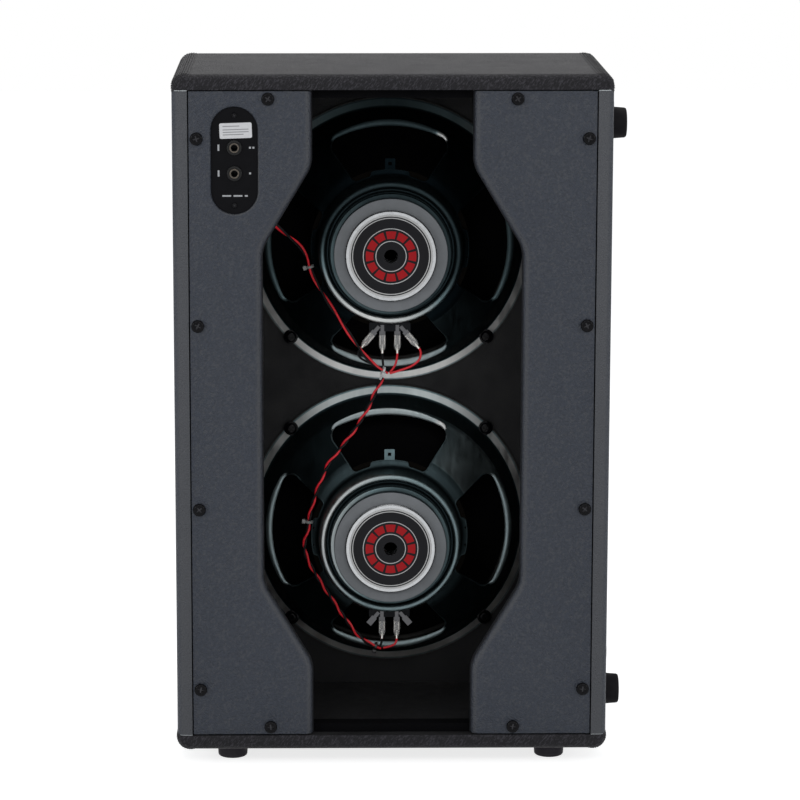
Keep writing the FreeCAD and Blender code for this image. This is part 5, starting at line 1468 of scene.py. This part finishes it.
# %% Metal of one connector, pointing down from a tab
# The same tin twice: painted shade on the flat body, a painted highlight on the rolls, neck and crimp.
finish("tin_painted_shade", (0.05, 0.048, 0.045), (0.3, 0.45), 0.4, 400, metal=1.0)
finish("tin_painted_highlight", (0.62, 0.60, 0.56), (0.16, 0.28), 0.3, 500, metal=1.0)
# Each rod gives its radius, its place across and in depth, and its two heights.
RODS = {
    "left roll": (0.0011, -0.0023, -0.0004, -0.0042, -0.0140),
    "right roll": (0.0011, 0.0023, -0.0004, -0.0042, -0.0140),
    "neck": (0.0012, 0, 0, -0.0140, -0.0185),
    "crimp": (0.0020, 0, 0, -0.0176, -0.0236),
}
STRIP_PLACE, STRIP_SIZE = (0, 0.0009, -0.0105), (0.0062, 0.0005, 0.0125)
cube(STRIP_PLACE, STRIP_SIZE)
metal = [dress(close_piece(open_piece("body")), "tin_painted_shade")]
for name, (radius, x, y, top, bottom) in RODS.items():
    cylinder(20, radius, top - bottom, (x, y, (top + bottom) / 2), (0, 0, 0))
    metal.append(dress(close_piece(open_piece(name)), "tin_painted_highlight"))
metal = join("connector_metal", metal)
print("connector metal", len(metal.data.polygons), "faces")

# %% Sleeve of one connector
SLEEVE_WIDTH, SLEEVE_DEPTH, SLEEVE_WALL, SLEEVE_ROUND = 0.0074, 0.0046, 0.0004, 0.0014
SLEEVE_START, SLEEVE_LENGTH, SLEEVE_TAPER = 0.0036, 0.0168, (0.58, 0.85, 1)
SLEEVE_END = -SLEEVE_START - SLEEVE_LENGTH
cube((0, 0, -SLEEVE_START - SLEEVE_LENGTH / 2), (SLEEVE_WIDTH, SLEEVE_DEPTH, SLEEVE_LENGTH))
sleeve = open_piece("sleeve")
pick("EDGE", lambda centre, edge: reach(edge, 2) > 0.01)
bpy.ops.mesh.subdivide(number_cuts=3)
pick("VERT", lambda place, v: place.z < SLEEVE_END + 1e-5)
bpy.ops.transform.resize(value=SLEEVE_TAPER, center_override=(0, 0, SLEEVE_END))
bevel(lambda centre, edge: reach(edge, 2) > 0.003 and edge.calc_face_angle(0) > 1, SLEEVE_ROUND, 5)
pick("FACE", lambda centre, face: abs(face.normal.z) > 0.9)
bpy.ops.mesh.delete(type="FACE")
change(sleeve, "SOLIDIFY", thickness=SLEEVE_WALL, offset=-1)
dress(close_piece(sleeve), "connector_sleeve")
print("sleeve", len(sleeve.data.polygons), "faces")

# %% Connectors on the tabs
TERMINAL_EDGE, TAB_BACK = 0.089, 0.0724
# Each tab gives its loudspeaker, its place across, and its turn in degrees.
TABS = [("upper", -0.008, 0.0), ("upper", 0.008, 0.0), ("upper", -0.016, 40.0), ("upper", 0.016, -40.0),
        ("lower", -0.008, 0.0), ("lower", 0.008, 0.0)]
places = [beside(speaker, x, TAB_BACK, -TERMINAL_EDGE) for speaker, x, _ in TABS]
turns = [math.radians(turn) for _, _, turn in TABS]
for piece, name in ((metal, "connector_bodies"), (sleeve, "connector_sleeves")):
    fit(set_at(piece, name, places, turns), "wire_connectors")

# %% [markdown]
# Nylon ties gather the leads. A tie is a band round the lead, with a boxy head where its end is pulled
# through and a short cut tail. Two are clear, one is white and one black, so each is its own piece.

# %% Cable ties
TIE_OUTER, TIE_INNER, TIE_WIDTH, TIE_EDGE, TIE_BORE = 0.0044, 0.0034, 0.0026, 0.0004, 0.01
TIE_HEAD = ((0.0058, 0.0004, 0), (0.0034, 0.0046, 0.0042))
TIE_TAIL = ((0.0056, 0.0050, 0), (0.0011, 0.0070, 0.0023))
UPRIGHT = (0, 0, 0)


def cable_tie(name, route, run, head_way):
    """A closed tie round one run of a lead. Its head points head_way."""
    cylinder(32, TIE_OUTER, TIE_WIDTH, turn=UPRIGHT)
    boxes = [open_piece("band")]
    bevel(lambda centre, edge: reach(edge, 2) < 2e-5, TIE_EDGE, 2)
    cut(boxes[0], cylinder(32, TIE_INNER, TIE_BORE, turn=UPRIGHT))
    for where, size in (TIE_HEAD, TIE_TAIL):
        cube(where, size)
        boxes.append(open_piece("head"))
        bevel(lambda centre, edge: True, TIE_EDGE, 2)
    tie = join(name, boxes)
    axis = (route[run + 1] - route[run]).normalized()
    head = (head_way - axis * head_way.dot(axis)).normalized()
    turn = Matrix((head, axis.cross(head), axis)).transposed().to_4x4()
    tie.matrix_world = Matrix.Translation((route[run] + route[run + 1]) / 2) @ turn
    activate(tie)
    bpy.ops.object.transform_apply(**APPLY)
    return fit(dress(close_piece(tie), "nylon"), "cable_ties")


finish("white_nylon", (0.80, 0.80, 0.80), (0.35, 0.5), 0.1, 400)
finish("black_nylon", (0.010, 0.010, 0.011), (0.32, 0.45), 0.3, 400)
TIES = [
    ("tie_upper_hub", input_route, 7, (-1, 0, 0), "nylon"),
    ("tie_at_tails", input_route, 13, (0.75, -0.7, -0.7), "white_nylon"),
    ("tie_lower_hub", link_route, 8, (-1, 0, 0), "nylon"),
    ("tie_at_lower_tails", link_route, 18, (0, 0, -1), "black_nylon"),
]
for name, route, run, head_way, colour in TIES:
    cable_tie(name, route, run, Vector(head_way)).data.materials[0] = FINISHES[colour]

# %% [markdown]
# The grille cloth at the front is stretched over its frame and wraps round the frame's edges. A box as large
# as the frame, opened at its rear and with its front edges rounded, is the wrapped cloth. Its UV map is
# measured in metres of flat cloth, so that the threads keep their size on the face and on the wrapped sides.

# %% Grille cloth
CLOTH, WRAP, CLOTH_ROUND = 0.0008, 0.012, 0.003
CLOTH_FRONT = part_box("grille_cloth")[1].y
low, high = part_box("grille_frame")
size = Vector((high.x - low.x + 2 * CLOTH, WRAP + CLOTH, high.z - low.z + 2 * CLOTH))
spot = middle("grille_frame")
cube((spot.x, CLOTH_FRONT - size.y / 2, spot.z), size)
cloth = open_piece("grille_cloth_wrapped")
bevel(lambda centre, edge: all_at(edge, 1, CLOTH_FRONT), CLOTH_ROUND, 5)
pick("FACE", lambda centre, face: all_at(face, 1, CLOTH_FRONT - size.y))
bpy.ops.mesh.delete(type="FACE")
pick("FACE", lambda centre, face: all_at(face, 1, CLOTH_FRONT))
bpy.ops.mesh.subdivide(number_cuts=11)
to_mode("OBJECT")


def unwrapped(point, face):
    """A place on the flat cloth. On a wrapped side, the way down from the face is added."""
    down, flat = CLOTH_FRONT - point.y, []
    for axis in (0, 2):
        wrapped = abs(face.normal[axis]) > 0.5
        past = math.copysign(down, face.center[axis] - spot[axis]) if wrapped else 0.0
        flat.append(point[axis] - spot[axis] + past)
    return flat


lay_flat(cloth, unwrapped)
fit(dress(close_piece(cloth), "grille_cloth"), "grille_cloth")

# %% [markdown]
# The stage is a plain pale floor under soft light. Camera, glossy and see-through rays meet white, so the
# background is white and metal shows it too, while the light on the object comes from softer, dimmer
# sources: the surroundings, a wide lamp above, one at each side, and two high up near the camera.

# %% Floor and surroundings
FLOOR_SIZE, FLOOR_GREY, FLOOR_GLOW = 14, (0.62, 0.62, 0.62, 1), 0.78
SKY, SKY_STRENGTH, WHITE = (0.92, 0.95, 1.0, 1), 0.45, (1, 1, 1, 1)


def either(tree, unseen, shown, output):
    """One shader for rays that show the background (straight from the camera, mirrored, or through glass),
    and another for the rest."""
    path = add(tree, "ShaderNodeLightPath").outputs
    seen = maths(tree, "ADD", path["Is Camera Ray"], path["Is Glossy Ray"], True)
    seen = maths(tree, "ADD", seen, path["Is Transmission Ray"], True)
    mixed = add(tree, "ShaderNodeMixShader", {0: seen, 1: unseen.outputs[0], 2: shown.outputs[0]})
    add(tree, output, {"Surface": mixed.outputs[0]})


deselect()
bpy.ops.mesh.primitive_plane_add(size=FLOOR_SIZE)
floor = bpy.context.object
floor.name = "floor"
pale = bpy.data.materials.new("pale_floor")
world = bpy.context.scene.world or bpy.data.worlds.new("surroundings")
bpy.context.scene.world = world
for holder in (pale, world):
    holder.use_nodes = True
    holder.node_tree.nodes.clear()
tree = pale.node_tree
plain = add(tree, "ShaderNodeBsdfDiffuse", {"Color": FLOOR_GREY})
glow = add(tree, "ShaderNodeEmission", {"Color": WHITE, "Strength": FLOOR_GLOW})
glowing = add(tree, "ShaderNodeAddShader", {0: plain.outputs[0], 1: glow.outputs[0]})
either(tree, plain, glowing, "ShaderNodeOutputMaterial")
floor.data.materials.append(pale)

tree = world.node_tree
dim = add(tree, "ShaderNodeBackground", {"Color": SKY, "Strength": SKY_STRENGTH})
white = add(tree, "ShaderNodeBackground", {"Color": WHITE, "Strength": 1.0})
either(tree, dim, white, "ShaderNodeOutputWorld")
bpy.context.scene.view_settings.view_transform = "Standard"
print("floor and surroundings")

# %% Soft lamps
# Each lamp gives its place, the place that it points to, its size and its power.
LAMPS = {
    "lamp_above": ((0.0, 0.25, 2.4), (0, 0, 0.6), 1.6, 13),
    "lamp_left": ((-2.4, -1.6, 1.3), (0, 0, 0.4), 1.2, 17),
    "lamp_right": ((2.4, -1.4, 1.2), (0, 0, 0.4), 1.2, 13),
    "lamp_upper_left": ((-1.0, -3.0, 2.2), (0, 0, 0.35), 1.0, 9),
    "lamp_upper_right": ((0.9, -2.9, 2.1), (0, 0, 0.35), 1.0, 11),
}
for name, (at, to, size, power) in LAMPS.items():
    aim = (Vector(to) - Vector(at)).to_track_quat("-Z", "Y").to_euler()
    bpy.ops.object.light_add(type="AREA", location=at, rotation=aim)
    lamp = bpy.context.object
    lamp.name = name
    lamp.data.shape, lamp.data.size, lamp.data.energy = "DISK", size, power
print("lamps", list(LAMPS))

# %% [markdown]
# CAD nodes whose shape is right stay, and take the finish of their slot. The strips behind the panels lie in
# shade and the tabs are dull tin, so they have finishes of their own.

# %% Finishes of the CAD nodes that stay
finish("dark_board", (0.0015, 0.0015, 0.002), (0.7, 0.9), 0.5, 30, 900, 0.3, specular=0.05)
finish("tab_tin", (0.10, 0.10, 0.105), (0.3, 0.45), 0.25, 180, metal=1.0)
OWN_FINISH = {"rear_cleat_top": "dark_board", "rear_cleat_bottom": "dark_board",
              "rear_cleat_sides": "dark_board", "terminal_tabs": "tab_tin"}
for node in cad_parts.values():
    for holder in node.material_slots:
        slot = holder.material.name.split(".")[0]
        holder.material = FINISHES.get(slot, holder.material)
        if slot not in FINISHES:
            print("no finish for", node.name, slot)
for name, like in OWN_FINISH.items():
    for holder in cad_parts[name].material_slots:
        holder.material = FINISHES[like]

# %% [markdown]
# of the dressed one are then written side by side.

print("end of the scene")
